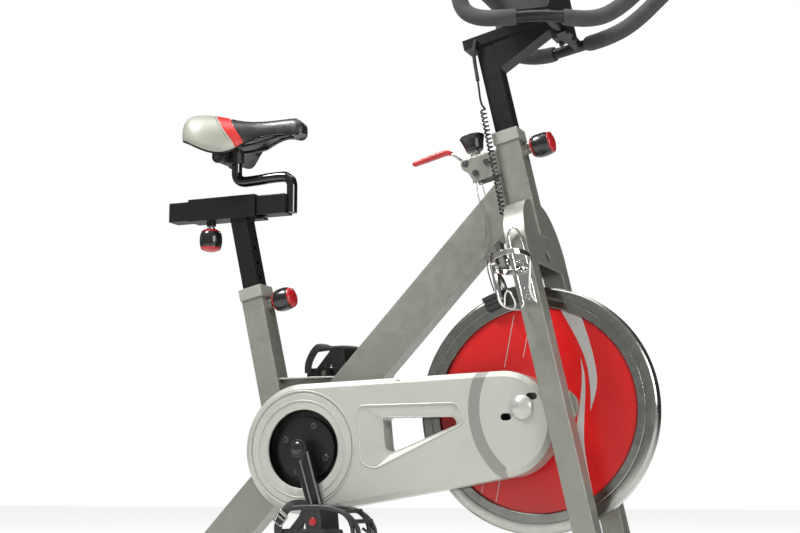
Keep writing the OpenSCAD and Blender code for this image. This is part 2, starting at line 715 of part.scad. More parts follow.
// padded cover, crowned above and hollow below
module saddle_cushion() color(soft_black) at_crank() skin([for (i = [0 : saddle_rings])
    let (t = share(i), h = saddle_half(t), low = saddle_edge(t) + 3, rise = saddle_top(t) - low)
    [for (j = [0 : 27]) let (a = -360 * j / 28, c = cos(a), q = sin(a))
        q > -0.01 ? [along(t), h * sign(c) * pow(abs(c), 0.72), low + rise * pow(max(q, 0), 0.72)]
            : [along(t), 0.97 * h * c, saddle_under(t, c)]]]);

// stiff shell under the cover
module saddle_base() color(black) at_crank() skin([for (i = [2 : saddle_rings - 2])
    let (t = share(i), h = 0.97 * saddle_half(t))
    [for (j = [0 : 29]) let (c = cos(j < 15 ? -180 * j / 14 : -180 * (29 - j) / 14), gap = j < 15 ? 4 : 1.4)
        [along(t), h * c, saddle_under(t, c) - gap]]]);

// ---- handlebar ----

cross_a = 152;
cross_s = 778;

module cross_bore() translate([cross_a, 0, cross_s]) rotate([90, 0, 0])
    cylinder(r = bar_dia / 2 + 0.1, h = 80, center = true);

module at_clamp_bolts() for (x = [-13.5, 13.5]) for (y = [-22, 22])
    translate([cross_a + x, y, cross_s]) children();

module bar_post() color(black) at_crank() head_axis(0) difference() {
    union() {
        translate([-bar_post_w / 2, -bar_post_w / 2, 468]) cube([bar_post_w, bar_post_w, 346]);
        translate([-42, -23, 800]) cube([180, 46, 4]);
        for (s = [-23, 20]) translate([-42, s, 800]) cube([180, 3, 20]);
        for (s = [-20, 17]) side_plate(s, s + 3) polygon([[18, 742], [134, 784], [134, 801], [18, 801]]);
        side_plate(-19, 19) polygon([[18, 742], [134, 784], [134, 787], [18, 745]]);
        translate([cross_a - 17, -32, cross_s - 14]) cube([34, 64, 13.5]);
        translate([cross_a - 20, -16.5, cross_s - 14]) cube([6, 33, 13.5]);
        translate([cross_a - 20, -16.5, cross_s - 14]) cube([2.5, 33, 38]);
    }
    translate([-bar_post_w / 2 + 2.5, -bar_post_w / 2 + 2.5, 467])
        cube([bar_post_w - 5, bar_post_w - 5, 340]);
    for (i = [0 : 6]) translate([0, 0, 496 + i * post_hole_step]) xcyl(5, 10, 30);
    cross_bore();
    at_clamp_bolts() translate([0, 0, -20]) cylinder(r = 2.6, h = 20);
}

module bar_clamp() color(black) at_crank() head_axis(0) difference() {
    translate([cross_a - 17, -32, cross_s + 0.5]) cube([34, 64, 14]);
    cross_bore();
    at_clamp_bolts() translate([0, 0, -1]) cylinder(r = 2.6, h = 20);
}

module bar_bolts() color(soft_black) at_crank() head_axis(0) at_clamp_bolts() {
    translate([0, 0, -21]) cylinder(r = 2.5, h = 39);
    translate([0, 0, -18.5]) cylinder(r = 5, h = 4.4, $fn = 6);
    translate([0, 0, 14.6]) cylinder(r = 4.6, h = 4);
}

cross_x = head_x + cross_a * cos(head_lean) - cross_s * sin(head_lean);
cross_z = cross_a * sin(head_lean) + cross_s * cos(head_lean);

// right-hand half of the bar, from the rider's end to the front tip
function bar_half_path(y) = [[338, 0, 902], [338, y * 0.5, 902], [338, y, 900], [338, y, 862],
    [346, y, 815], [378, y, 794], [430, y, 788], [cross_x, y * 0.8, cross_z], [580, y * 0.42, 786],
    [632, y * 0.38, 806], [690, y * 0.38, 856], [728, y * 0.36, 888], [738, y * 0.12, 898], [739, 0, 899]];

module bar_rod(y, r, i0, i1, sides) {
    p = smooth(bar_half_path(y), 2);
    rod([for (i = [i0 : i1]) p[i]], r, [0.31, 0.24, 0.92], sides);
}

module handlebar() color(black) at_crank() {
    for (s = [-1, 1]) bar_rod(s * bar_half, bar_dia / 2, 0, 53, 12);
    ycyl(cross_x, cross_z, bar_dia / 2, -bar_half * 0.8, bar_half * 0.8);
}

module bar_grips() color(soft_black) at_crank() for (s = [-1, 1]) difference() {
    union() {
        bar_rod(s * bar_half, grip_dia / 2, 3, 26, 12);
        bar_rod(s * bar_half, grip_dia / 2, 31, 49, 12);
    }
    bar_rod(s * bar_half, bar_dia / 2 + 0.5, 2, 50, 12);
}

// ---- console ----

screen_tilt = 38;

module on_console() translate([446, 0, 866]) rotate([0, -screen_tilt, 0]) children();

// wedge housing sat over the post's bracket, with a recess for the screen and a hole for the button
module console() color(soft_black) at_crank() difference() {
    side_plate(-62, 62) offset(r = 4, $fn = 24) offset(delta = -4)
        polygon([[411, 826], [494, 823], [506, 856], [500, 888], [473.6, 905.3], [401.1, 848.7]]);
    head_axis(0) block([-50, -23.5, 790], [160, 23.5, 820.6]);
    on_console() translate([4, 0, 11.5]) linear_extrude(6) pad_2d(54, 84, 6);
    on_console() translate([-36, 0, 9]) cylinder(r = 7.3, h = 8);
}

module console_screen() color([0.30, 0.36, 0.32]) at_crank()
    on_console() translate([4, 0, 11.7]) linear_extrude(1.8) pad_2d(53.4, 83.4, 5.8);

module console_button() color(red) at_crank() on_console() translate([-36, 0, 11]) cylinder(r = 6.9, h = 5);

// ---- pull knobs ----

// pull knob along local X: pin, spring housing, red collar ring, black barrel and end face
module pull_knob(start) {
    r = knob_dia / 2;
    xcyl(4, start - 4, start + 30);
    xcyl(8.5, start + 10.6, start + 15);
    translate([start + 15, 0, 0]) rotate([0, 90, 0]) rotate_extrude($fn = 48) polygon([[0, 0], [13, 0],
        [r - 6, 2], [r - 2, 8], [r, 16], [r, 28], [r - 1.5, 36], [r - 5, 43], [r - 8, 47], [0, 49]]);
}

module seat_knob() color(black) at_crank() seat_axis(299) pull_knob(tube_w / 2);
module bar_knob() color(black) at_crank() head_axis(574) pull_knob(tube_w / 2);
module slide_knob() color(black) at_crank()
    translate([slide_pin_x, 0, sleeve_z0 - 1.5]) rotate([0, 90, 0]) pull_knob(0);

// ---- brake ----

lever_x = 309;
lever_z = 546;
screw_a = -73;
bracket_top = 590;
tube_rear = -tube_w / 2 - 0.1;

// frame on the tension screw, which runs parallel to the head tube
module screw_axis() head_axis(bracket_top) translate([screw_a, 0, 0]) children();

module bracket_2d() polygon([[-96, 589], [tube_rear, 589], [tube_rear, 540], [-84, 540], [-91, 560],
    [-101, 570], [-103, 580], [-101, 586]]);

module brake_bracket() color(silver) at_crank() difference() {
    union() {
        head_axis(0) {
            for (y = [-17, 14.5]) side_plate(y, y + 2.5) bracket_2d();
            block([-83.2, -16, bracket_top - 3], [tube_rear, 16, bracket_top]);
            block([-66, -15, 548], [tube_rear, 15, 551]);
        }
        screw_axis() cylinder(r = 11, h = 6);
    }
    ycyl(lever_x, lever_z, 3.1, -20, 20);
    screw_axis() translate([0, 0, -5]) cylinder(r = 5.1, h = 20);
    ycyl(330, 526, 2.6, -20, 20);
}

module tension_knob() color(black) at_crank() screw_axis() {
    translate([0, 0, -14]) cylinder(r = 5, h = 30);
    translate([0, 0, 6.3]) cylinder(r = 8, h = 8);
    translate([0, 0, 14]) cylinder(r1 = 17, r2 = 24.5, h = 28, $fn = 48);
    translate([0, 0, 42]) cylinder(r1 = 24.5, r2 = 21, h = 3, $fn = 48);
}

module brake_lever() color(chrome) at_crank() translate([lever_x, 0, lever_z]) {
    ycyl(0, 0, 9, -13.8, 13.8);
    ycyl(0, 0, 3, -20, 20);
    rod(smooth([[-4, 0, 2], [-30, 0, 22], [-43, 0, 30.4], [-65, 0, 24.4], [-109, 0, 13]], 2),
        3.4, [0, 1, 0], 12);
    rod(smooth([[-34, 0, 25], [-43, 0, 30.4], [-65, 0, 24.4], [-117, 0, 11.5]], 2), 7, [0, 1, 0], 16);
}

// the two cable anchors and the inner wires down to the caliper
module brake_cables() color(steel) at_crank() {
    ycyl(330, 526, 2.5, -18, 18);
    for (s = [-1, 1]) rod(smooth([[330 + s * 6, s * 5, 522], [332 + s * 3, s * 6, 505], [336, s * 26, 482],
        [cal_x - 12, s * 26, cal_z + 72], [cal_x - 22, s * 25, cal_z + 30]], 2), 1.1, [1, 0, 0], 8);
}

// pivots about the caliper bolt and carries the pad on the +Y side
module caliper_arm(x0, x1) difference() {
    union() {
        xcyl(12, x0, x1);
        front_plate(x0, x1) polygon([[-2, -11], [10, -8], [30, -22], [38, -44], [38, -70], [30, -70],
            [28, -46], [18, -30], [0, -20]]);
        front_plate(x0, x1) polygon([[0, 11], [-6, 9], [16, 20], [30, 24], [30, 17], [10, 6]]);
    }
    xcyl(4.1, x0 - 1, x1 + 1);
}

module on_caliper() translate([cal_x, 0, cal_z]) rotate([0, -pad_turn, 0]) children();

module caliper_bolt() color(chrome) at_crank() on_caliper() {
    xcyl(4, -16, 22);
    xcyl(8, 17.2, 22);
    xcyl(7, -16, -11.4);
}

module caliper_arm_r() color(steel) at_crank() on_caliper() mirror([0, 1, 0]) caliper_arm(-5, 1);
module caliper_arm_l() color(steel) at_crank() on_caliper() caliper_arm(-11, -5.2);

// ribbed brake shoe following the rim on the +Y side
module brake_pad() {
    gap_y = rim_w / 2 + 1.7;
    difference() {
        side_plate(gap_y, gap_y + 9) translate([axle_x, axle_z]) intersection() {
            difference() {
                circle(r = wheel_r + 4, $fn = 180);
                circle(r = wheel_r - 24, $fn = 180);
            }
            rotate(pad_angle) polygon([[0, 0], [wheel_r + 30, -48], [wheel_r + 30, 48]]);
        }
        for (r = [wheel_r - 15, wheel_r - 6]) side_plate(gap_y + 7, gap_y + 10) translate([axle_x, axle_z])
            difference() {
                circle(r = r + 1, $fn = 120);
                circle(r = r - 1, $fn = 120);
            }
    }
    on_caliper() translate([0, 0, -70]) block([-11, gap_y + 8, -8], [1, 29.3, 8]);
}

module brake_pad_l() color(black) at_crank() brake_pad();
module brake_pad_r() color(black) at_crank() mirror([0, 1, 0]) brake_pad();

// ---- cable and bottle cage ----

coil_turns = 25;

module coil_cable() color(black) at_crank() {
    a = [352, -33, 645];
    b = [391, -33, 436];
    d = unit(b - a);
    u = unit(cross(d, [0, 1, 0]));
    v = cross(d, u);
    rod([for (i = [0 : coil_turns * 9]) a + (b - a) * i / (coil_turns * 9)
        + 4.6 * (cos(40 * i) * u + sin(40 * i) * v)], 1.5, d, 6);
    rod(smooth([a + 4.6 * u - d, a - [4, 2, -12], [342, -30, 700], [331, -28, 760], [336, -27.5, 790]], 2),
        2.2, [0, 1, 0], 8);
}

cage_r = 36;
cage_x = -6;
cage_wire = 2.4;

module bottle_cage() color(chrome) at_crank() head_axis(0) translate([0, -leg_out, 0]) {
    difference() {
        block([-9, -3.4, cage_low - 8], [9, -0.3, cage_high + 8]);
        for (s = [cage_low, cage_high]) translate([0, -4, s]) rotate([-90, 0, 0]) cylinder(r = 2.6, h = 5);
    }
    // upright loop on the mounting strip
    rod(smooth([[-12, -4, cage_low - 14], [-12, -4, cage_high + 50], [-9, -5, cage_high + 64],
        [0, -5.5, cage_high + 72], [9, -5, cage_high + 64], [12, -4, cage_high + 50],
        [12, -4, cage_low - 14]], 2), cage_wire, [0, 1, 0], 10);
    for (z = [cage_low + 14, cage_high - 14]) block([-12, -5, z - 3], [12, -3, z + 3]);
    // ring that holds the bottle's neck
    rod([for (i = [0 : 32]) let (a = 11.25 * i) [cage_x + cage_r * sin(a), -cage_r - 3.6 + cage_r * cos(a),
        cage_high + 2 - 12 * cos(a)]], cage_wire, [0, 0, 1], 10);
    // side wires from the ring to the foot of the loop
    rod(smooth([[cage_x - cage_r, -cage_r - 8, cage_high + 3], [-41, -cage_r - 14, cage_high - 36],
        [-41, -cage_r - 14, cage_low - 4], [-34, -cage_r - 4, cage_low - 16],
        [-16, -14, cage_low - 22], [-12, -4.2, cage_low - 12]], 2), cage_wire, [0, 1, 0], 10);
    rod(smooth([[cage_x + cage_r, -cage_r - 2, cage_high + 2], [27, -cage_r, cage_high - 10],
        [8, -16, cage_low + 8], [11, -5, cage_low - 10]], 2), cage_wire, [0, 1, 0], 10);
}

// ---- assembly ----

frame();
front_stabiliser();
rear_stabiliser();
end_caps();
base_bolts();
foot_r();
foot_l();
roller_r();
roller_l();
seat_collar();
head_collar();
guard_outer();
guard_inner();
frame_screws();
axle_cover();
bb_cups();
brake_bracket();
flywheel_axle();
axle_nuts();
bottle_cage();
chain();
brake_cables();
coil_cable();
caliper_bolt();
seat_post();
saddle_slide();
stem_clamp();
rail_clamp();
saddle_rails();
saddle_base();
saddle_cushion();
bar_post();
bar_clamp();
bar_bolts();
handlebar();
bar_grips();
console();
console_screen();
console_button();
seat_knob();
slide_knob();
bar_knob();
tension_knob();
brake_lever();
caliper_arm_r();
caliper_arm_l();
brake_pad_r();
brake_pad_l();
flywheel();
sprocket();
spindle();
chainring();
ring_cover();
crank_arm_r();
crank_arm_l();
pedal_axles();
pedal_r();
pedal_l();
strap_r();
strap_l();
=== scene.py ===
"""Looks for the indoor spin bike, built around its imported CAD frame.

Lengths in calls are millimetres from the crank's centre: x forwards, y to the rider's left, z up.
"""
import math
import random

import bmesh
import bpy
from mathutils import Matrix, Vector


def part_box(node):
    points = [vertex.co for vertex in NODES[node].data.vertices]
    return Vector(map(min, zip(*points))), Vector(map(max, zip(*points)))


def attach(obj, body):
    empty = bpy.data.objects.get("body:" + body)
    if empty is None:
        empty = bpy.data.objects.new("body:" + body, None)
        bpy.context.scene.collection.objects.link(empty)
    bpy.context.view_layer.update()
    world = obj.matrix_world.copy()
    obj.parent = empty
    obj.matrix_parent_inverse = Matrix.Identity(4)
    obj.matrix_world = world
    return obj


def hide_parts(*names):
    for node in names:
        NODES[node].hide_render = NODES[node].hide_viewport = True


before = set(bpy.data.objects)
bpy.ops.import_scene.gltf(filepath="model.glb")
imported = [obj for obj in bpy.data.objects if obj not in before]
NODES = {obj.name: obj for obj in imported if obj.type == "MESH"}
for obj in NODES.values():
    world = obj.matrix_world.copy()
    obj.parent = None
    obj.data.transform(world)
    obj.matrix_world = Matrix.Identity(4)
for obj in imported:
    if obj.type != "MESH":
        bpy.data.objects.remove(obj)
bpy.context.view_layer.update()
MM = 0.001

spindle_lo, spindle_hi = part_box("spindle")
CRANK = (spindle_lo + spindle_hi) / 2
# degrees by which the seat tube and the head tube lean back, and x of their feet at the crank's height
SEAT_LEAN, SEAT_FOOT = 12.9, -85
HEAD_LEAN, HEAD_FOOT = 12.6, 526
# centre of the flywheel in x and z
AXLE = (443.0, 69.0)


def sind(a):
    return math.sin(math.radians(a))


def cosd(a):
    return math.cos(math.radians(a))


def move(x=0.0, y=0.0, z=0.0):
    return Matrix.Translation((x, y, z))


def spin(degrees, axis):
    return Matrix.Rotation(math.radians(degrees), 4, axis)


def leaning(x, z, lean, s=0.0):
    """Local frame at x, z whose z axis leans back by lean degrees, moved s along that axis."""
    return move(x, 0, z) @ spin(-lean, "Y") @ move(0, 0, s)


def seat_axis(s=0.0):
    return leaning(SEAT_FOOT, 0, SEAT_LEAN, s)


def head_axis(s=0.0):
    return leaning(HEAD_FOOT, 0, HEAD_LEAN, s)


PLAIN = Matrix.Identity(4)
# turns a lathe's z axis to +x, +y and -z
ALONG_X = spin(90, "Y")
ALONG_Y = spin(-90, "X")
DOWN = spin(180, "Y")
# turns a prism's outline in x and y, and its z axis, to y and z, and x
SECTION_X = Matrix(((0, 0, 1, 0), (1, 0, 0, 0), (0, 1, 0, 0), (0, 0, 0, 1)))


def outward(s):
    """Turns a lathe's z axis away from the bike's mid plane, to +y when s is 1 and to -y when s is -1."""
    return ALONG_Y if s > 0 else ALONG_Y @ DOWN


# ---- materials ----

def feed(tree, node, inputs):
    """Sets a node's inputs to plain values, or links them to other nodes' sockets."""
    for key, value in inputs.items():
        if isinstance(value, bpy.types.NodeSocket):
            tree.links.new(value, node.inputs[key])
        else:
            node.inputs[key].default_value = value


def add(tree, kind, inputs=None, **props):
    node = tree.nodes.new(kind)
    for key, value in props.items():
        setattr(node, key, value)
    feed(tree, node, inputs or {})
    return node


def math_node(tree, op, a, b=0.0):
    return add(tree, "ShaderNodeMath", {0: a, 1: b}, operation=op).outputs[0]


def product(tree, first, *others):
    """First times each of the others."""
    for other in others:
        first = math_node(tree, "MULTIPLY", first, other)
    return first


def ramp(tree, value, lo, hi, to_lo=0.0, to_hi=1.0):
    """Value moved smoothly from the range lo to hi into to_lo to to_hi."""
    return add(tree, "ShaderNodeMapRange",
               {"Value": value, "From Min": lo, "From Max": hi, "To Min": to_lo, "To Max": to_hi},
               interpolation_type="SMOOTHSTEP").outputs[0]


def mix(tree, factor, a, b):
    """Colour between a and b; a colour mix keeps its factor at input 0 and its colours at 6 and 7."""
    node = add(tree, "ShaderNodeMix", data_type="RGBA", blend_type="MIX")
    feed(tree, node, {0: factor, 6: a, 7: b})
    return node.outputs[2]


def rgba(c, k=1.0):
    return (min(c[0] * k, 1), min(c[1] * k, 1), min(c[2] * k, 1), 1)


def noise(tree, vector, scale, detail):
    return add(tree, "ShaderNodeTexNoise", {"Vector": vector, "Scale": scale, "Detail": detail,
                                            "Roughness": 0.5}).outputs[0]


M = {}


def material(name, base, rough=0.4, metal=0.0, coat=0.0, vary=0.08, vary_scale=14.0, grain=0.0,
             grain_scale=900.0, rough_vary=0.06, edge=None, edge_amount=0.35, radius=0.8, sheen=0.0,
             pattern=None, spec=0.5):
    """Principled material: slow colour variation, fine grain in bump and roughness, softened and worn edges.

    pattern(tree, object_vector, colour) may return a new colour and a bump height."""
    mat = bpy.data.materials.new(name)
    mat.use_nodes = True
    tree = mat.node_tree
    shader = tree.nodes["Principled BSDF"]
    where = add(tree, "ShaderNodeTexCoord").outputs["Object"]
    slow = noise(tree, where, vary_scale, 4.0)
    colour = mix(tree, ramp(tree, slow, 0.3, 0.7), rgba(base, 1 - vary), rgba(base, 1 + vary))
    fine = noise(tree, where, grain_scale, 2.0)
    rounded = add(tree, "ShaderNodeBevel", {"Radius": radius * MM}, samples=3)
    height = fine
    if pattern:
        colour, extra = pattern(tree, where, colour)
        if extra is not None:
            height = math_node(tree, "ADD", fine, extra)
    if edge:
        true_normal = add(tree, "ShaderNodeNewGeometry").outputs["Normal"]
        dot = add(tree, "ShaderNodeVectorMath", {0: rounded.outputs[0], 1: true_normal},
                  operation="DOT_PRODUCT").outputs["Value"]
        worn = ramp(tree, dot, 0.985, 0.86)
        patchy = ramp(tree, noise(tree, where, 160.0, 3.0), 0.35, 0.65)
        colour = mix(tree, product(tree, worn, patchy, edge_amount), colour, rgba(edge))
    uneven = noise(tree, where, 55.0, 3.0)
    bump = add(tree, "ShaderNodeBump", {"Strength": grain, "Distance": 0.0004, "Height": height,
                                        "Normal": rounded.outputs[0]})
    feed(tree, shader, {
        "Base Color": colour, "Metallic": metal, "Sheen Weight": sheen, "Specular IOR Level": spec,
        "Roughness": ramp(tree, uneven, 0.3, 0.7, max(rough - rough_vary, 0.02), rough + rough_vary),
        "Coat Weight": coat, "Coat Roughness": 0.06, "Normal": bump.outputs[0]})
    if coat:
        feed(tree, shader, {"Coat Normal": rounded.outputs[0]})
    M[name] = mat


def axle_radius(tree, where, x=AXLE[0], z=AXLE[1]):
    """Distance in metres of a point from a line along y through x, z."""
    centre = Vector((CRANK.x + x * MM, 0, CRANK.z + z * MM))
    off = add(tree, "ShaderNodeVectorMath", {0: where, 1: centre}, operation="SUBTRACT").outputs[0]
    flat = add(tree, "ShaderNodeVectorMath", {0: off, 1: (1, 0, 1)}, operation="MULTIPLY").outputs[0]
    return add(tree, "ShaderNodeVectorMath", {0: flat}, operation="LENGTH").outputs["Value"]


def flakes(tree, where, colour):
    """Metallic paint: fine bright and dark flecks."""
    cells = add(tree, "ShaderNodeTexVoronoi", {"Vector": where, "Scale": 2600.0}).outputs["Color"]
    grey = add(tree, "ShaderNodeRGBToBW", {0: cells}).outputs[0]
    return mix(tree, ramp(tree, grey, 0.45, 0.9, 0.0, 0.22), colour, (0.86, 0.86, 0.82, 1)), None


# the band on the guard is an arc: its centre, radius, half width, and the x where it ends at the front
BAND_CENTRE = (500.0, 68.0)
BAND_RADIUS, BAND_HALF, BAND_FRONT = 148.4, 10.9, 413
BAND_COLOUR = (0.225, 0.227, 0.205, 1)


def guard_band(tree, where, colour):
    """Silver plastic with a darker curved band painted across its front part."""
    colour, _ = flakes(tree, where, colour)
    away = axle_radius(tree, where, *BAND_CENTRE)
    side = math_node(tree, "ABSOLUTE", math_node(tree, "SUBTRACT", away, BAND_RADIUS * MM))
    x = add(tree, "ShaderNodeSeparateXYZ", {0: where}).outputs[0]
    behind_end = ramp(tree, x, CRANK.x + (BAND_FRONT + 2) * MM, CRANK.x + (BAND_FRONT - 2) * MM)
    in_width = ramp(tree, side, (BAND_HALF + 0.3) * MM, (BAND_HALF - 0.3) * MM)
    inside = product(tree, in_width, behind_end)
    return mix(tree, inside, colour, BAND_COLOUR), product(tree, inside, -0.8)


def lathe_lines(tree, where, colour):
    """Fine concentric marks of a turned face."""
    away = axle_radius(tree, where)

    def rings(per_metre, detail):
        spread = add(tree, "ShaderNodeCombineXYZ", {0: product(tree, away, per_metre)}).outputs[0]
        return noise(tree, spread, 1.0, detail)

    broad = ramp(tree, rings(160.0, 1.0), 0.3, 0.7, 0.0, 0.5)
    return mix(tree, broad, colour, (0.36, 0.36, 0.34, 1)), product(tree, rings(1400.0, 2.0), 0.6)


def leather(tree, where, colour):
    """Vinyl pores and creases."""
    cells = add(tree, "ShaderNodeTexVoronoi", {"Vector": where, "Scale": 620.0},
                feature="DISTANCE_TO_EDGE").outputs["Distance"]
    return colour, ramp(tree, cells, 0.0, 0.25)


def foam_cells(tree, where, colour):
    """Open cells, darker in their middles: painted shade in the hollow of each cell."""
    cells = add(tree, "ShaderNodeTexVoronoi", {"Vector": where, "Scale": 1100.0}).outputs["Distance"]
    return mix(tree, ramp(tree, cells, 0.1, 0.6), colour, (0.035, 0.036, 0.033, 1)), cells


def webbing(tree, where, colour):
    """Woven strap: crossed ribs."""
    wave = add(tree, "ShaderNodeTexWave", {"Vector": where, "Scale": 320.0, "Distortion": 1.0},
               bands_direction="DIAGONAL").outputs["Fac"]
    return mix(tree, wave, colour, (0.012, 0.012, 0.012, 1)), wave


material("frame_paint", (0.215, 0.218, 0.185), rough=0.38, metal=0.5, coat=0.2, grain=0.12, pattern=flakes,
         edge=(0.55, 0.55, 0.51), edge_amount=0.5, radius=3.2, vary=0.05)
material("collar_plastic", (0.26, 0.263, 0.232), rough=0.42, coat=0.1, grain=0.25, radius=1.2,
         edge=(0.5, 0.5, 0.46))
material("guard_plastic", (0.385, 0.39, 0.35), rough=0.36, metal=0.25, coat=0.25, grain=0.10, vary=0.03,
         vary_scale=5.0, radius=1.6, pattern=guard_band, edge=(0.85, 0.85, 0.82))
material("guard_back", (0.20, 0.20, 0.19), rough=0.5, grain=0.3, radius=0.6)
material("black_paint", (0.0060, 0.0062, 0.0054), rough=0.36, coat=0.06, grain=0.08, vary=0.12,
         rough_vary=0.02, radius=2.0, edge=(0.05, 0.05, 0.05), spec=0.3)
material("stem_black", (0.004, 0.004, 0.004), rough=0.10, coat=0.5, grain=0.03, vary=0.1, rough_vary=0.03,
         radius=0.5)
material("soft_black", (0.010, 0.0103, 0.0093), rough=0.46, grain=0.5, grain_scale=1500.0, vary=0.15,
         radius=1.0, edge=(0.05, 0.05, 0.046))
material("gloss_black", (0.0065, 0.0066, 0.006), rough=0.26, coat=0.3, grain=0.05, vary=0.12,
         rough_vary=0.05)
material("crank_black", (0.012, 0.0125, 0.011), rough=0.34, metal=0.3, coat=0.2, grain=0.12, vary=0.12,
         radius=1.4, edge=(0.09, 0.09, 0.085), edge_amount=0.5)
material("rubber", (0.014, 0.014, 0.013), rough=0.62, grain=0.6, grain_scale=700.0, vary=0.25)
material("foam", (0.019, 0.0195, 0.017), rough=0.78, grain=0.55, vary=0.14, vary_scale=30.0,
         pattern=foam_cells, radius=1.0, sheen=0.1)
material("vinyl_black", (0.009, 0.0095, 0.0085), rough=0.38, grain=0.18, pattern=leather, vary=0.2,
         coat=0.1)
material("vinyl_grey", (0.32, 0.32, 0.275), rough=0.42, metal=0.2, grain=0.10, pattern=leather, vary=0.03,
         coat=0.05, radius=0.3, rough_vary=0.02)
material("vinyl_red", (0.50, 0.020, 0.015), rough=0.36, grain=0.16, pattern=leather, coat=0.1)
material("thread", (0.05, 0.05, 0.05), rough=0.6, grain=0.5, pattern=webbing)
material("red_gloss", (0.34, 0.008, 0.012), rough=0.28, coat=0.2, grain=0.04, vary=0.1, radius=0.6)
material("red_vinyl", (0.40, 0.012, 0.014), rough=0.34, coat=0.15, grain=0.12, vary=0.1)
material("wheel_red", (0.50, 0.005, 0.005), rough=0.34, coat=0.12, grain=0.02, vary=0.10, vary_scale=4.0,
         radius=0.6, rough_vary=0.03)
material("decal_silver", (0.50, 0.50, 0.48), rough=0.34, metal=0.45, grain=0.06, pattern=flakes, vary=0.05)
material("rim_steel", (0.34, 0.345, 0.315), rough=0.20, metal=1.0, grain=0.10, vary=0.1,
         pattern=lathe_lines, radius=0.6, rough_vary=0.05)
material("chrome", (0.62, 0.62, 0.60), rough=0.09, metal=1.0, grain=0.03, vary=0.05, rough_vary=0.04,
         radius=0.4)
material("steel", (0.42, 0.42, 0.41), rough=0.30, metal=1.0, grain=0.2, vary=0.14, radius=0.5,
         edge=(0.7, 0.7, 0.68))
material("dark_steel", (0.10, 0.10, 0.10), rough=0.36, metal=0.9, grain=0.2, vary=0.2, radius=0.5,
         edge=(0.4, 0.4, 0.4))
material("dome_silver", (0.40, 0.40, 0.37), rough=0.30, metal=0.45, coat=0.3, grain=0.10, pattern=flakes,
         vary=0.03, radius=0.6)
material("screen", (0.11, 0.13, 0.11), rough=0.14, coat=0.8, grain=0.02, vary=0.1)
material("strap_webbing", (0.010, 0.010, 0.010), rough=0.55, grain=0.5, pattern=webbing)

# ---- mesh helpers ----
# A part is a pair of lists: its points in millimetres, and its faces.


def piece(name, part, mat, body, matrix=PLAIN, stands_for=None, angle=38, extra=(), ids=None):
    """A new object from a part, riding on body, with sharp edges above angle degrees.

    It replaces the CAD node stands_for, or the one with its own name, if there is one. ids gives each face
    its place in mat and extra."""
    verts, faces = part
    mesh = bpy.data.meshes.new(name)
    mesh.from_pydata([CRANK + (matrix @ Vector(v)) * MM for v in verts], [], faces)
    bm = bmesh.new()
    bm.from_mesh(mesh)
    if ids:
        bm.faces.ensure_lookup_table()
        for face, i in zip(bm.faces, ids):
            face.material_index = i
    bmesh.ops.remove_doubles(bm, verts=bm.verts, dist=1e-6)
    bmesh.ops.recalc_face_normals(bm, faces=bm.faces)
    for face in bm.faces:
        face.smooth = True
    for e in bm.edges:
        if len(e.link_faces) == 2 and e.calc_face_angle() > math.radians(angle):
            e.smooth = False
    bm.to_mesh(mesh)
    bm.free()
    for m in (mat, *extra):
        mesh.materials.append(M[m])
    obj = bpy.data.objects.new(name, mesh)
    bpy.context.scene.collection.objects.link(obj)
    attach(obj, body)
    if (stands_for or name) in NODES:
        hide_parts(stands_for or name)
    return obj


def bevel(obj, width, segments=2):
    """Rounds the edges that turn by more than 40 degrees."""
    mod = obj.modifiers.new("bevel", "BEVEL")
    mod.width = width * MM
    mod.segments = segments
    mod.limit_method = "ANGLE"
    mod.angle_limit = math.radians(40)
    shade = obj.modifiers.new("normals", "WEIGHTED_NORMAL")
    shade.keep_sharp = True


def grid_faces(rings, around, loop=False):
    """Faces of a stack of rings with around points each, capped, or closed on itself by loop."""
    faces = []
    for i in range(rings if loop else rings - 1):
        low, up = i * around, (i + 1) % rings * around
        for j in range(around):
            k = (j + 1) % around
            faces.append((low + j, low + k, up + k, up + j))
    if not loop:
        faces.append(tuple(range(around - 1, -1, -1)))
        faces.append(tuple(range((rings - 1) * around, rings * around)))
    return faces


def smooth(points, n=3):
    """Rounds a path's corners by cutting them n times."""
    path = [Vector(q) for q in points]
    for _ in range(n):
        cut = []
        for a, b in zip(path, path[1:]):
            cut += [a * 0.75 + b * 0.25, a * 0.25 + b * 0.75]
        path = [path[0]] + cut + [path[-1]]
    return path


def tube(path, radius, sides=16, loop=False, up=(0, 1, 0), flat=1.0):
    """Tube along a path; radius may be a function of the share along the path, flat squeezes it."""
    verts, n = [], len(path)
    side = None
    for i, p in enumerate(path):
        a = path[(i - 1) % n] if loop else path[max(i - 1, 0)]
        b = path[(i + 1) % n] if loop else path[min(i + 1, n - 1)]
        t = (b - a).normalized()
        base = side if side is not None else Vector(up)
        side = (base - t * base.dot(t)).normalized()
        other = t.cross(side)
        r = radius(i / (n - 1)) if callable(radius) else radius
        for j in range(sides):
            w = 2 * math.pi * j / sides
            verts.append(p + side * (r * math.cos(w)) + other * (r * flat * math.sin(w)))
    return verts, grid_faces(n, sides, loop=loop)


def join(*parts):
    verts, faces = [], []
    for v, f in parts:
        base = len(verts)
        verts += [Vector(q) for q in v]
        faces += [tuple(i + base for i in g) for g in f]
    return verts, faces


def placed(part, matrix):
    return [matrix @ Vector(v) for v in part[0]], part[1]


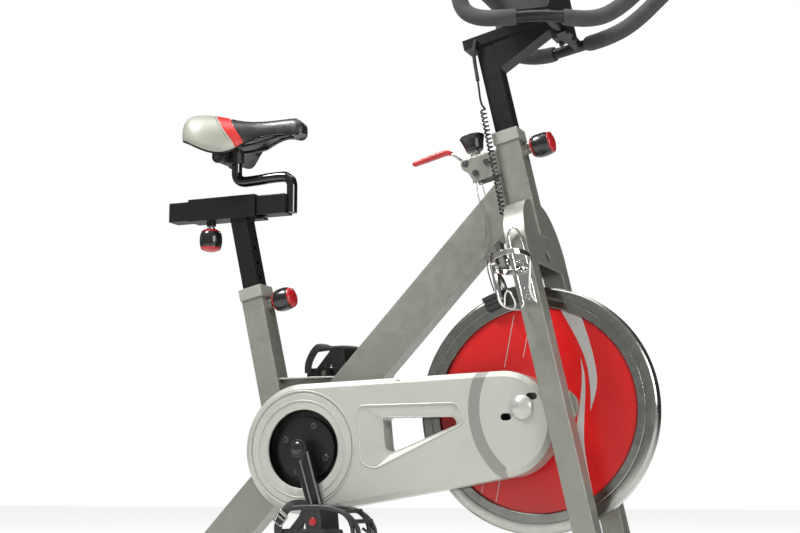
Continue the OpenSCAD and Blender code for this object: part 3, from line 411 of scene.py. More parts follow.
def lathe(profile, sides, ring=False):
    """Solid turned about z from (radius, height) points; ring closes the profile on itself."""
    verts, faces = [], []
    rows = []
    for r, h in profile:
        if r < 1e-6:
            rows.append([len(verts)] * sides)
            verts.append(Vector((0, 0, h)))
        else:
            rows.append(list(range(len(verts), len(verts) + sides)))
            turns = [2 * math.pi * j / sides for j in range(sides)]
            verts += [Vector((r * math.cos(w), r * math.sin(w), h)) for w in turns]
    pairs = list(zip(rows, rows[1:])) + ([(rows[-1], rows[0])] if ring else [])
    for low, high in pairs:
        for j in range(sides):
            k = (j + 1) % sides
            quad = [low[j], low[k], high[k], high[j]]
            quad = [q for i, q in enumerate(quad) if q not in quad[:i]]
            if len(quad) > 2:
                faces.append(tuple(quad))
    return verts, faces


def turned(profile, sides, matrix, ring=False):
    """A lathe's solid moved into place."""
    return placed(lathe(profile, sides, ring), matrix)


def mirrored(half):
    """Closed profile from its near half, given as (radius, height) with height below 0."""
    return half + [(r, -h) for r, h in reversed(half)]


def prism(outline, low, high):
    """Solid between z = low and z = high over an outline given in x and y."""
    return [Vector((x, y, z)) for z in (low, high) for x, y in outline], grid_faces(2, len(outline))


def side_prism(outline, y0, y1):
    """Solid between two y values over an outline given in x and z."""
    v, f = prism(outline, y0, y1)
    return [Vector((p.x, p.z, p.y)) for p in v], f


def hollow_prism(outline, hole, low, high):
    """Prism with a hole that has as many corners as its outline, open at both ends."""
    n = len(outline)
    verts = [Vector((x, y, z)) for z in (low, high) for loop in (outline, hole) for x, y in loop]
    faces = []
    for i in range(n):
        k = (i + 1) % n
        faces += [(i, k, 2 * n + k, 2 * n + i), (n + i, 3 * n + i, 3 * n + k, n + k),
                  (i, n + i, n + k, k), (2 * n + i, 2 * n + k, 3 * n + k, 3 * n + i)]
    return verts, faces


def box_part(a, b):
    return prism([(a[0], a[1]), (b[0], a[1]), (b[0], b[1]), (a[0], b[1])], a[2], b[2])


def hexagon(r, low, high):
    return prism([(r * cosd(60 * i), r * sind(60 * i)) for i in range(6)], low, high)


# ---- looks of the CAD nodes that stay ----


def soften_group():
    """Node group that welds a CAD node's faces together and smooths all but its sharp edges."""
    group = bpy.data.node_groups.new("weld_and_smooth", "GeometryNodeTree")
    for in_out in ("INPUT", "OUTPUT"):
        group.interface.new_socket("Geometry", in_out=in_out, socket_type="NodeSocketGeometry")
    start, end = group.nodes.new("NodeGroupInput"), group.nodes.new("NodeGroupOutput")
    clear = add(group, "GeometryNodeRemoveAttribute", {"Geometry": start.outputs[0], "Name": "custom_normal"})
    weld = add(group, "GeometryNodeMergeByDistance", {"Geometry": clear.outputs[0], "Distance": 1e-5})
    faces = add(group, "GeometryNodeSetShadeSmooth", {"Geometry": weld.outputs[0], "Shade Smooth": True})
    angle = add(group, "GeometryNodeInputMeshEdgeAngle").outputs[0]
    sharp = add(group, "FunctionNodeCompare", {0: angle, 1: math.radians(32)}, operation="GREATER_THAN")
    edges = add(group, "GeometryNodeSetShadeSmooth",
                {"Geometry": faces.outputs[0], "Selection": sharp.outputs[0], "Shade Smooth": False},
                domain="EDGE")
    feed(group, end, {0: edges.outputs[0]})
    return group


SOFTEN = soften_group()


def finish_cad(node, mat, width):
    """Gives a CAD node its material and rounded edges width across, through modifiers only."""
    obj = NODES[node]
    obj.data.materials.clear()
    obj.data.materials.append(M[mat])
    group = obj.modifiers.new("soften", "NODES")
    group.node_group = SOFTEN
    if width:
        flat = obj.modifiers.new("flat", "DECIMATE")
        flat.decimate_type = "DISSOLVE"
        flat.angle_limit = math.radians(1.0)
        bevel(obj, width)


# for each material its nodes, each with the width of its rounded edges
CAD_LOOKS = {
    "frame_paint": {"frame": 0.9, "front_stabiliser": 1.0, "rear_stabiliser": 1.0, "brake_bracket": 0.5},
    "collar_plastic": {"seat_collar": 0.8, "head_collar": 0.8},
    "guard_plastic": {"guard_outer": 0.6},
    "guard_back": {"guard_inner": 0.4},
    "dome_silver": {"axle_cover": 0.0},
    "soft_black": {"end_caps": 1.5, "stem_clamp": 0.8, "rail_clamp": 0.8, "console": 1.6},
    "black_paint": {"seat_post": 0.8, "bar_post": 0.6, "bar_clamp": 0.8},
    "rubber": {"foot_r": 0.8, "foot_l": 0.8, "roller_r": 1.5, "roller_l": 1.5, "brake_pad_r": 0.4,
               "brake_pad_l": 0.4},
    "chrome": {"base_bolts": 0.3, "frame_screws": 0.4, "axle_nuts": 0.4, "caliper_bolt": 0.4},
    "dark_steel": {"bb_cups": 0.4, "chain": 0.0, "bar_bolts": 0.3, "chainring": 0.2},
    "steel": {"flywheel_axle": 0.4, "caliper_arm_r": 0.5, "caliper_arm_l": 0.5, "sprocket": 0.2,
              "spindle": 0.3, "pedal_axles": 0.4},
    "crank_black": {"ring_cover": 0.5},
    "screen": {"console_screen": 0.3},
    "red_gloss": {"console_button": 0.4},
}
for look, nodes in CAD_LOOKS.items():
    for node_name, width in nodes.items():
        finish_cad(node_name, look, width)

# ---- flywheel ----

WHEEL = move(AXLE[0], 0, AXLE[1]) @ ALONG_Y
DISC_FLAT, STRIPE_PROUD = 11.0, 0.35
RIM_HALF = [(189.2, -9.0), (190.4, -13.6), (191.8, -15.0), (205.0, -15.0), (205.8, -14.2), (207.6, -14.2),
            (208.4, -15.0), (222.5, -15.0), (224.5, -14.4), (227.6, -12.0), (228.5, -10.8)]
DISC_HALF = [(6.1, -24.9), (31.0, -24.9), (34.0, -23.6), (40.0, -21.6), (52.0, -17.4), (66.0, -13.8),
             (84.0, -11.8), (110.0, -11.1), (186.0, -DISC_FLAT), (189.0, -10.6), (189.9, -9.4)]
piece("flywheel_rim", lathe(mirrored(RIM_HALF), 160, ring=True), "rim_steel", "wheel", WHEEL,
      "flywheel", angle=30)
piece("flywheel_disc", lathe(mirrored(DISC_HALF), 128, ring=True), "wheel_red", "wheel", WHEEL,
      "flywheel", angle=42)


def disc_face(x, z):
    """Distance of the disc's painted face from the wheel's mid plane at (x, z)."""
    r = math.hypot(x - AXLE[0], z - AXLE[1])
    for (r0, h0), (r1, h1) in zip(DISC_HALF, DISC_HALF[1:]):
        if r0 <= r <= r1:
            return -h0 - (h1 - h0) * (r - r0) / (r1 - r0)
    return DISC_FLAT


def swoosh(edges, s):
    """Thin curved stripe between two curves of (x, z) points, lying on the disc's face on side s."""
    one, two = (smooth([(x, 0, z) for x, z in edge], 5)[1:-1] for edge in edges)
    rings = []
    for a, b in zip(one, two):
        row = [a.lerp(b, k / 4) for k in range(5)]
        rings += [Vector((p.x, s * (disc_face(p.x, p.z) + STRIPE_PROUD), p.z)) for p in row]
        rings += [Vector((p.x, s * (disc_face(p.x, p.z) - 0.15), p.z)) for p in reversed(row)]
    return rings, grid_faces(len(one), 10)


SWOOSHES = [([(546, 64), (556, 92), (560.5, 120), (557, 150), (548, 190), (532, 240)],
             [(546, 64), (547.5, 90), (546, 116), (541.5, 152), (525, 195), (490, 258)]),
            ([(529.4, 162.8), (535.5, 140), (538, 110), (535.5, 68), (533, 27), (533.4, -2), (538, -36),
              (549, -94)],
             [(529.4, 162.8), (531.5, 140), (531.3, 118), (527, 76), (518, 33), (524, 4), (533, -34),
              (549, -94)])]
PINSTRIPES = [((402, 246), (334, -84)), ((434, 236), (362, -100))]
for side, s in (("near", -1), ("far", 1)):
    y0, y1 = sorted((s * (DISC_FLAT - 0.1), s * (DISC_FLAT + STRIPE_PROUD)))
    stripes = [swoosh(edges, s) for edges in SWOOSHES]
    for (x0, z0), (x1, z1) in PINSTRIPES:
        stripes.append(side_prism([(x0 - 0.7, z0), (x0 + 0.7, z0), (x1 + 0.7, z1), (x1 - 0.7, z1)], y0, y1))
    piece("flywheel_stripes_" + side, join(*stripes), "decal_silver", "wheel")

# ---- pull knobs ----

GRIP = [(0, 20.2), (18.6, 20.2), (20.0, 20.8), (21.4, 22.6), (22.5, 26.0), (23.2, 30.0), (23.5, 34.0),
        (23.6, 37.0), (23.5, 40.0), (23.2, 44.0), (22.6, 48.0), (21.7, 51.4), (21.0, 53.0), (0, 53.0)]
NECK_RING = [(8.6, 14.6), (12.6, 14.6), (16.0, 15.6), (18.9, 17.6), (20.0, 19.2), (19.6, 20.3), (8.6, 20.3)]
END_FACE = [(0, 52.8), (21.0, 52.8), (21.2, 53.8), (20.6, 55.6), (19.4, 57.0), (17.6, 58.2), (16.8, 57.8),
            (15.8, 58.6), (11.0, 60.6), (6.0, 61.8), (0, 62.3)]
HOUSING = [(0, 0.5), (4.0, 0.5), (4.0, 10.7), (8.2, 10.7), (8.5, 11.2), (8.5, 14.0), (7.6, 14.6), (0, 14.6)]
# distance of a knob's foot in front of its post's axis
KNOB_FOOT = 23.5


def pull_knob(name, body, matrix):
    """Knob along the x axis of matrix: black grip, red neck ring and end face, chrome housing."""
    turn = matrix @ ALONG_X
    piece(name, lathe(GRIP, 56), "gloss_black", body, turn, angle=50)
    for part, profile, mat in (("_ring", NECK_RING, "red_gloss"), ("_face", END_FACE, "red_gloss"),
                               ("_pin", HOUSING, "chrome")):
        piece(name + part, lathe(profile, 56), mat, body, turn, angle=50)


pull_knob("seat_knob", "seat_pull", seat_axis(299) @ move(KNOB_FOOT))
pull_knob("bar_knob", "bar_pull", head_axis(574) @ move(KNOB_FOOT))
pull_knob("slide_knob", "slide_pull", move(-268.5, 0, 476.5) @ spin(90, "Y"))

# ---- tension screw and brake lever ----

SCREW = head_axis(590) @ move(-73)
DIAL = [(0, 14.2), (15.6, 14.2), (16.8, 15.2), (17.6, 18.4), (19.0, 25.0), (21.2, 33.0), (23.4, 39.4),
        (24.4, 41.2), (24.5, 42.4), (23.6, 44.0), (21.6, 44.8), (20.6, 43.8), (18.0, 43.2), (0, 42.8)]
SHANK = [(0, -14), (4.6, -14), (5.0, -13.4), (5.0, 6.3), (9.2, 6.3), (9.7, 6.8), (9.7, 10.4), (8.2, 10.8),
         (8.0, 14.3), (0, 14.3)]
piece("tension_knob", lathe(DIAL, 72), "gloss_black", "tension", SCREW, angle=50)
piece("tension_screw", lathe(SHANK, 40), "chrome", "tension", SCREW)

LEVER = (309, 546)
PIVOT = move(LEVER[0], 0, LEVER[1]) @ ALONG_Y
HUB_HALF = [(3.1, -13.7), (8.6, -13.7), (9.0, -13.2)]
PIVOT_HALF = [(0, -18.8), (2.8, -18.8), (3.4, -18.2), (6.6, -18.0), (7.2, -17.4), (7.2, -14.6), (3.0, -14.4)]


def lever_path(*points):
    """Smoothed path through (x, z) points measured from the lever's pivot."""
    return smooth([(LEVER[0] + x, 0, LEVER[1] + z) for x, z in points])


def handle_width(t):
    """Half width of the dipped handle along its length, narrow at the elbow and rounded at the tip."""
    body = 5.2 + 5.2 * math.sin(math.pi * min(t * 0.72 + 0.14, 1.0))
    return body * math.sqrt(max(0.02, 1 - max(0, (t - 0.9) / 0.1) ** 2)) * min(1.0, 0.72 + t * 4)


lever_arm = tube(lever_path((-4, 2), (-24, 19), (-41, 29.5), (-55, 27), (-75, 21)), 3.6, flat=0.8)
piece("brake_lever", join(turned(mirrored(HUB_HALF), 40, PIVOT, ring=True), lever_arm), "chrome", "lever")
piece("lever_pivot", lathe(mirrored(PIVOT_HALF), 32), "dark_steel", "lever", PIVOT)
handle = lever_path((-35, 26.5), (-43, 30.4), (-55, 28.4), (-85, 20.4), (-117, 11.8))
piece("lever_handle", tube(handle, handle_width, 20, flat=0.55), "red_vinyl", "lever")

# ---- brake caliper and its cables ----

# the caliper's bolt, this far from the axle and this many degrees up from straight ahead
BOLT_OUT, PAD_ANGLE = 285.5, 105
BOLT = (AXLE[0] + BOLT_OUT * cosd(PAD_ANGLE), AXLE[1] + BOLT_OUT * sind(PAD_ANGLE))
CALIPER = leaning(BOLT[0], BOLT[1], PAD_ANGLE - 90)
ANCHOR = (330, 526)


def brake_cable(s):
    """One of the two cables from the anchor to the caliper arm on side s."""
    return tube(smooth([(330 + s * 6, s * 5, 522), (332 + s * 3, s * 6, 505), (336, s * 26, 482),
                        (BOLT[0] - 12, s * 26, BOLT[1] + 72), (BOLT[0] - 22, s * 25, BOLT[1] + 30)]),
                0.9, 8, up=(1, 0, 0))


piece("brake_cables", join(brake_cable(-1), brake_cable(1)), "steel", "base")
anchor = turned(mirrored([(0, -18), (5.0, -18), (5.0, -17.1), (2.5, -17)]), 20,
                move(ANCHOR[0], 0, ANCHOR[1]) @ ALONG_Y)
barrels = [turned([(0, 0), (2.6, 0), (3.4, 1), (3.4, 11), (2.2, 12.5), (0, 12.5)], 20,
                  move(329 + s * 5.6, s * 5.2, 509)) for s in (-1, 1)]
piece("cable_anchor", join(anchor, *barrels), "chrome", "base")
piece("bracket_bolts", join(*[placed(hexagon(6.4, 17.2, 20.6), move(x, 0, z) @ outward(s))
                              for s in (-1, 1) for x, z in ((352, 546), ANCHOR)]),
      "dark_steel", "base")


def caliper_details(tag, body, s):
    """Return spring, pad bolt and cable clamp of the arm on side s."""
    spring = smooth([(-15, s * 10, 14), (-15, s * 18, 8), (-16, s * 26, -8), (-14, s * 31, -34),
                     (-13, s * 29, -52)])
    piece("caliper_spring_" + tag, tube(spring, 1.2, 8, up=(1, 0, 0)), "dark_steel", body, CALIPER)
    head = [(0, 0), (5.4, 0), (6, 0.6), (6, 3.4), (5.2, 4.2), (3.1, 4.2), (2.9, 2.6), (0, 2.6)]
    pad_bolt = turned(head, 28, move(-5, s * 30.2, -69) @ outward(s))
    clamp = turned([(0, 0), (3.2, 0), (3.2, 9), (0, 9)], 18, move(-5, s * 29, 22) @ outward(s))
    piece("pad_bolt_" + tag, join(pad_bolt, clamp), "chrome", body, CALIPER)


caliper_details("r", "caliper_right", -1)
caliper_details("l", "caliper_left", 1)

# ---- raised lips of the chain guard ----


def rounded_path(corners, r):
    """Closed path along corners (x, z), each corner cut back by r and rounded in six steps."""
    path = []
    for i, corner in enumerate(corners):
        here = Vector(corner)
        back = (Vector(corners[i - 1]) - here).normalized() * r
        ahead = (Vector(corners[(i + 1) % len(corners)]) - here).normalized() * r
        path += [here + back * (1 - k / 6) ** 2 + ahead * (k / 6) ** 2 for k in range(7)]
    return path


def round_lip(r):
    return turned([(r - 1.7, 94.6), (r - 1.6, 96.4), (r - 0.9, 97.9), (r, 98.3), (r + 1.0, 97.9),
                   (r + 1.8, 96.4), (r + 1.9, 94.6)], 160, outward(-1), ring=True)


def window_lip(corners, r, y, size):
    return tube([Vector((p.x, y, p.y)) for p in rounded_path(corners, r)], size, 12, loop=True)


piece("guard_lips",
      join(round_lip(91.8), round_lip(110.4),
           window_lip([(117, 79), (319, 80), (335, 44), (154, -39.5), (125, -29)], 13, -96.4, 1.7),
           window_lip([(164, 57), (310, 56), (318, 40), (184, -11), (170, -2)], 8, -86.6, 1.5)),
      "guard_plastic", "base")

# ---- bottle cage ----

# the cage's frame stands on the head tube's right side: lower and upper screw, then the ring's radius and x
CAGE = head_axis() @ move(0, -118, 0)
LOW, HIGH, RING, RING_X = 270.5, 331, 36, -6
WIRE = 2.5


def cage_wires():
    """Back loop, left and right wires and the tongue that holds the bottle's foot."""
    loop = [(-12, -4, LOW - 14), (-12, -4, HIGH + 50), (-9, -5, HIGH + 64), (0, -5.5, HIGH + 72),
            (9, -5, HIGH + 64), (12, -4, HIGH + 50), (12, -4, LOW - 14)]
    left = [(RING_X - RING, -RING - 8, HIGH + 3), (-41, -RING - 14, HIGH - 36), (-41, -RING - 14, LOW - 4),
            (-34, -RING - 4, LOW - 16), (-16, -14, LOW - 22), (-12, -4.2, LOW - 12)]
    right = [(RING_X + RING, -RING - 2, HIGH + 2), (27, -RING, HIGH - 10), (8, -16, LOW + 8),
             (11, -5, LOW - 10)]
    tongue = [(-34, -RING - 10, LOW - 12), (-26, -RING - 16, LOW + 10), (-16, -RING - 16, LOW + 10),
              (-14, -RING - 4, LOW - 14), (-24, -RING + 6, LOW - 20)]
    return [tube(smooth(loop, 4), WIRE, 14), tube(smooth(left), WIRE, 14), tube(smooth(right), WIRE, 14),
            tube(smooth(tongue), WIRE * 0.8, 12)]


def cage_ring(steps=72):
    """Flat band around the bottle, dipping towards the outside."""
    band = []
    for i in range(steps):
        a = 360 / steps * i
        centre = Vector((RING_X + RING * sind(a), -RING - 3.6 + RING * cosd(a), HIGH + 2 - 12 * cosd(a)))
        out = Vector((sind(a), cosd(a), 0)) * 0.9
        up = Vector((0, 0, 5))
        band += [centre - up + out, centre + up + out, centre + up - out, centre - up - out]
    return band, grid_faces(steps, 4, loop=True)


strip = side_prism([(-9, LOW - 8), (9, LOW - 8), (9, HIGH + 8), (-9, HIGH + 8)], -3.4, -0.3)
ties = [box_part((-12, -5, z - 3), (12, -3, z + 3)) for z in (LOW + 14, HIGH - 14)]
piece("bottle_cage", join(strip, *ties, *cage_wires()), "chrome", "base", CAGE)
bevel(piece("bottle_cage_ring", cage_ring(), "chrome", "base", CAGE), 0.5)
SCREW_HEAD = [(0, 3.2), (4.8, 3.2), (5.2, 3.8), (4.6, 5.8), (3.0, 6.6), (0, 6.8)]
piece("cage_screws", join(*[turned(SCREW_HEAD, 24, move(0, 0, z) @ outward(-1)) for z in (LOW, HIGH)]),
      "steel", "base", CAGE)

# ---- sensor cable ----

COIL_TOP, COIL_BOTTOM = Vector((352, -33, 645)), Vector((391, -33, 436))
COIL_R, TURNS, STEPS = 4.6, 25, 24
span = COIL_BOTTOM - COIL_TOP
axis = span.normalized()
across = axis.cross(Vector((0, 1, 0))).normalized()
beside = axis.cross(across)
coil = [COIL_TOP + span * (i / (TURNS * STEPS)) + across * (COIL_R * cosd(360 / STEPS * i))
        + beside * (COIL_R * sind(360 / STEPS * i)) for i in range(TURNS * STEPS + 1)]
lead = smooth([COIL_TOP + across * COIL_R - axis, COIL_TOP - Vector((4, 2, -12)), (342, -30, 700),
               (331, -28, 760), (336, -27.5, 790)])
tail = smooth([coil[-1], COIL_BOTTOM + axis * 8 + Vector((0, 4, 0)),
               COIL_BOTTOM + axis * 14 + Vector((2, 10, 0))])
piece("coil_cable", join(tube(coil, 1.9, 8, up=axis), tube(lead, 2.0, 12), tube(tail, 1.5, 8, up=(1, 0, 0))),
      "gloss_black", "base")
piece("cable_sleeve", tube(lead[len(lead) // 2:-2], 3.6), "soft_black", "base")

# ---- saddle slider and stem ----

# x of the stem's upright and of the seat pin, height of the stem's arm and of the slider's underside
STEM_X, PIN_X, ARM_Z, SLIDE_Z = -78, -209, 562, 481
SLIDE_REAR = -362


def slide_fill(x0, x1):
    """Block that fills the slider's hollow between x0 and x1."""
    return box_part((x0, -15.8, SLIDE_Z + 2.7), (x1, 15.8, SLIDE_Z + 38.3))


stem = smooth([(STEM_X, 0, SLIDE_Z + 2), (STEM_X, 0, ARM_Z - 48), (STEM_X, 0, ARM_Z - 2),
               (STEM_X - 46, 0, ARM_Z - 1), (PIN_X + 50, 0, ARM_Z - 4), (PIN_X, 0, ARM_Z - 5),
               (PIN_X, 0, ARM_Z + 40), (PIN_X, 0, ARM_Z + 66)], 4)
piece("saddle_stem", tube(stem, 11, 28), "stem_black", "saddle_carriage",
      stands_for="saddle_slide")
slider = hollow_prism([(-18.5, 0), (18.5, 0), (18.5, 41), (-18.5, 41)],
                      [(-16, 2.5), (16, 2.5), (16, 38.5), (-16, 38.5)], SLIDE_REAR, STEM_X - 8)
bevel(piece("saddle_slide", placed(slider, SECTION_X), "black_paint", "saddle_carriage",
            move(0, 0, SLIDE_Z)), 2.2, 3)
bevel(piece("slide_plug", slide_fill(SLIDE_REAR + 1.5, SLIDE_REAR + 8), "soft_black", "saddle_carriage"), 1.0)
piece("slide_end", slide_fill(STEM_X - 12, STEM_X - 9), "black_paint", "saddle_carriage")
seams = [smooth([(STEM_X - 9.5, s * 9.0, SLIDE_Z + 4), (STEM_X - 9.5, s * 9.0, SLIDE_Z + 39)], 1)
         for s in (-1, 1)]
piece("stem_weld", join(*[tube(seam, 1.6, 8, up=(1, 0, 0)) for seam in seams]), "black_paint",
      "saddle_carriage")

# ---- saddle ----

# x of the saddle's nose, its length and width, and its tilt axis in x and z
NOSE, LENGTH, WIDTH = -46, 272, 196
TILT = (-236, 611)
# heights that the tail and the nose round off towards, and the underside's height
TAIL_MID, NOSE_MID, BELLY = 664, 652, 650
# shares from tail to nose where the grey and the red panel end on the crest
GREY_END, RED_END = 0.28, 0.39


def half_width(t):
    taper = 0.215 + 0.785 / (1 + math.exp((t - 0.45) * 12))
    tail = (1 - (1 - t / 0.3) ** 2.8) ** 0.45 if t < 0.3 else 1.0
    nose = math.sqrt(max(0.0, 1 - ((t - 0.93) / 0.07) ** 2)) if t > 0.93 else 1.0
    return WIDTH / 2 * taper * tail * nose


def drawn_in(t, z):
    """Height z drawn in towards the middle of the rounded tail and nose."""
    if t < 0.12:
        return TAIL_MID + (z - TAIL_MID) * math.sqrt(1 - (1 - t / 0.12) ** 2)
    if t > 0.9:
        return NOSE_MID + (z - NOSE_MID) * math.sqrt(1 - ((t - 0.9) / 0.1) ** 2)
    return z


def bell(x, centre, spread):
    """A smooth bump, 1 at centre and fading over spread."""
    return math.exp(-((x - centre) / spread) ** 2)


def top_line(t):
    return drawn_in(t, 681 + 22 / (1 + math.exp((t - 0.38) * 14)))


def edge_line(t):
    """Height of the skirt's lower edge, lowest below the seams."""
    return drawn_in(t, 648 - 6 * bell(t, 0.93, 0.06) - 40 * bell(t, 0.385, 0.25 if t < 0.385 else 0.17))


def underside(t, c):
    belly = drawn_in(t, BELLY)
    return belly - (belly - edge_line(t)) * abs(c) ** 3


def saddle_point(t, a, lift=0.0):
    """Point of the cushion's skin at share t from tail to nose and angle a around it."""
    h, low = half_width(t), edge_line(t) + 3
    c, q = cosd(a), sind(a)
    x = NOSE - LENGTH * (1 - t)
    if q > -1e-6:
        y = h * math.copysign(abs(c) ** 0.72, c)
        z = low + (top_line(t) - low) * max(q, 0) ** 0.72
        z -= 3.0 * bell(y, 0, 12) * math.exp(-((t - 0.52) * 3.4) ** 2)
        return Vector((x, y, z)) + Vector((0, c, max(q, 0))) * lift
    return Vector((x, 0.97 * h * c, underside(t, c)))


def warp(u, a):
    """Share along the saddle of grid line u, bent forward on the flanks between tail and nose."""
    shift = 0.205 * (1 - max(sind(a), 0.0)) ** 0.7
    return min(max(u + shift * bell(u, 0.27, 0.20), 0.0), 1.0)


def cushion():
    """Closed skin of the saddle, grooved along its two seams, and each face's panel: black, grey or red."""
    groove = 0.0045
    near_seams = [s + k * groove for s in (GREY_END, RED_END) for k in (-2, -1, 0, 1, 2)]
    columns = sorted(set([0.5 - 0.499 * cosd(180 * i / 120) for i in range(121)] + near_seams))
    around = 96
    verts, panels = [], []
    for u in columns:
        depth = sum(-0.9 * bell(u, s, groove) for s in (GREY_END, RED_END))
        for j in range(around):
            a = -360 * j / around
            verts.append(saddle_point(warp(u, a), a, depth))
    for u, after in zip(columns, columns[1:]):
        middle = (u + after) / 2
        panels += [1 if middle < GREY_END else 2 if middle < RED_END else 0] * around
    return (verts, grid_faces(len(columns), around)), panels + [1, 0]


def stitching():
    """Short threads on both sides of the coloured panels."""
    threads = []
    for seam in (GREY_END - 0.016, RED_END + 0.016):
        for k in range(64):
            a = 172 - 164 * k / 63
            ends = [saddle_point(warp(seam, b), b, 0.15) for b in (a, a - 1.7)]
            threads.append(tube(ends, 0.42, 6, up=(1, 0, 0)))
    return join(*threads)


def saddle_shell(rows=60, cols=28):
    """Thin shell that follows the cushion's underside, 1.4 to 4 below it."""
    shell = []
    for i in range(rows):
        t = 0.012 + 0.972 * (0.5 - 0.5 * cosd(180 * i / (rows - 1)))
        for j in range(2 * cols):
            c = cosd(-180 * (j if j < cols else 2 * cols - 1 - j) / (cols - 1))
            gap = 4.0 if j < cols else 1.4
            shell.append(Vector((NOSE - LENGTH * (1 - t), 0.965 * half_width(t) * c, underside(t, c) - gap)))
    return shell, grid_faces(rows, 2 * cols)


def rail(s):
    return tube(smooth([(NOSE - 36, s * 9, 645.2), (NOSE - 64, s * 12, 643), (-140, s * 18, 633),
                        (-152, s * 24, 629), (-186, s * 24, 627), (-236, s * 24, 627), (-262, s * 24, 627),
                        (-278, s * 34, 638), (-296, s * 46, 643.8)]), 3.5, up=(0, 0, 1))


def clamp_disc():
    """Toothed disc that locks the saddle's tilt, along z."""
    tooth = box_part((11.6, -0.8, 30.1), (14.2, 0.8, 34.2))
    disc = lathe([(0, 30.1), (14.8, 30.1), (15.4, 30.8), (15.4, 31.6), (12.5, 33.6), (0, 33.6)], 48)
    return join(*[placed(tooth, spin(15 * i, "Z")) for i in range(24)], disc)


skin, panels = cushion()
piece("saddle_cushion", skin, "vinyl_black", "saddle", angle=70,
      extra=("vinyl_grey", "vinyl_red"), ids=panels)
piece("saddle_stitching", stitching(), "thread", "saddle")
bevel(piece("saddle_base", saddle_shell(), "gloss_black", "saddle", angle=50), 0.8)
piece("saddle_rails", join(rail(-1), rail(1)), "stem_black", "saddle")
tilt_sides = [move(TILT[0], 0, TILT[1]) @ outward(s) for s in (-1, 1)]
piece("clamp_discs", join(*[placed(clamp_disc(), turn) for turn in tilt_sides]), "soft_black", "saddle")
bevel(piece("clamp_nuts", join(*[placed(hexagon(6.2, 33.4, 38.0), turn) for turn in tilt_sides]),
            "dark_steel", "saddle"), 0.6)

# ---- handlebar ----

# the cross bar stands 778 up the head tube's axis and 152 ahead of it
CROSS = (HEAD_FOOT + 152 * cosd(HEAD_LEAN) - 778 * sind(HEAD_LEAN),
         152 * sind(HEAD_LEAN) + 778 * cosd(HEAD_LEAN))
BAR_R = 11
BAR_SIDE = (0.31, 0.24, 0.92)


def bar_path(y):
    """Half of the bar, from the rider's end to the front tip."""
    return smooth([(338, 0, 902), (338, y * 0.5, 902), (338, y, 900), (338, y, 862), (346, y, 815),
                   (378, y, 794), (430, y, 788), (CROSS[0], y * 0.8, CROSS[1]), (580, y * 0.42, 786),
                   (632, y * 0.38, 806), (690, y * 0.38, 856), (728, y * 0.36, 888), (738, y * 0.12, 898),
                   (739, 0, 899)], 4)


def swell(t):
    """Radius of a foam grip, a little thinner at its ends."""
    return 15.4 * (0.93 + 0.07 * min(1, t / 0.012, (1 - t) / 0.012))


metal, grips = [], []
for y in (-130, 130):
    path = bar_path(y)
    metal.append(tube(path, BAR_R, 20, up=BAR_SIDE))
    for start, end in ((0.0, 0.485), (0.562, 1.0)):
        stretch = path[int(start * (len(path) - 1)):int(end * (len(path) - 1)) + 1]
        grips.append(tube(stretch, swell, 32, up=BAR_SIDE))
cross_bar = turned(mirrored([(0, -104), (BAR_R, -104)]), 32, move(CROSS[0], 0, CROSS[1]) @ ALONG_Y)
piece("handlebar", join(cross_bar, *metal), "black_paint", "bar_column")
piece("bar_grips", join(*grips), "foam", "bar_column", angle=60)

# ---- crank arms ----

CRANK_LENGTH = 170
# degrees of the right arm from straight down, towards the front, at rest
ARM_REST = 18
ARM_EYE = [(9.2, 88.3), (17.4, 88.3), (18, 88.9), (18, 109.4), (17, 111.4), (14.6, 112.4), (9.2, 112.4)]
ARM_FOOT = [(6.1, 99.6), (13.6, 99.6), (14, 100), (14, 114.4), (13.2, 115.2), (6.1, 115.2)]
ARM_CAP = [(0, 104), (9.1, 104), (9.1, 112.6), (11.6, 113.2), (12, 114.2), (9.6, 116.2), (5, 117.2),
           (0, 117.5)]


def arm_bar(steps=30):
    """The arm along -z on the +y side, tapered and drifting outwards, with a fluted outer face."""
    rings = []
    for i in range(steps + 1):
        t = i / steps
        w = 16.5 - 3.0 * t
        y_in, y_out = 97 + 4.5 * t, 109.5 + 3.5 * t
        flute = 2.6 * min(1, t * 8, (1 - t) * 7)
        half = [(w, y_in), (w, y_out - 3), (w - 2.5, y_out), (4.8, y_out), (2.6, y_out - flute)]
        rings += [Vector((x, y, -6 - t * 160)) for x, y in half + [(-x, y) for x, y in reversed(half)]]
    return rings, grid_faces(steps + 1, 10)


def crank_arm(name, matrix):
    eye = turned(ARM_EYE, 48, ALONG_Y, ring=True)
    foot = turned(ARM_FOOT, 48, move(0, 0, -CRANK_LENGTH) @ ALONG_Y, ring=True)
    bevel(piece(name, join(arm_bar(), eye, foot), "crank_black", "crank", matrix), 0.7)
    piece(name + "_cap", lathe(ARM_CAP, 40), "gloss_black", "crank", matrix @ ALONG_Y)


MIRROR = Matrix.Scale(-1, 4, (0, 1, 0))
crank_arm("crank_arm_r", spin(-ARM_REST, "Y") @ MIRROR)
crank_arm("crank_arm_l", spin(180 - ARM_REST, "Y"))
spots = [spin(a, "Y") @ move(47) @ ALONG_Y @ DOWN for a in range(22, 360, 90)]
BOLT_HEAD = [(3.0, 78.9), (3.0, 80.4), (5.8, 80.4), (6.4, 79.8), (6.6, 78.9)]
piece("cover_bolts", join(*[turned(BOLT_HEAD, 28, spot, ring=True) for spot in spots]), "dark_steel", "crank")
piece("cover_sockets", join(*[placed(hexagon(3.1, 78.6, 79.4), spot) for spot in spots]), "soft_black",
      "crank")

# ---- pedals, drawn on the +y side around the axle ----

PEDAL = (CRANK_LENGTH * sind(ARM_REST), -CRANK_LENGTH * cosd(ARM_REST))
# inner and outer face of the pedal's body
Y_IN, Y_OUT = 119, 197


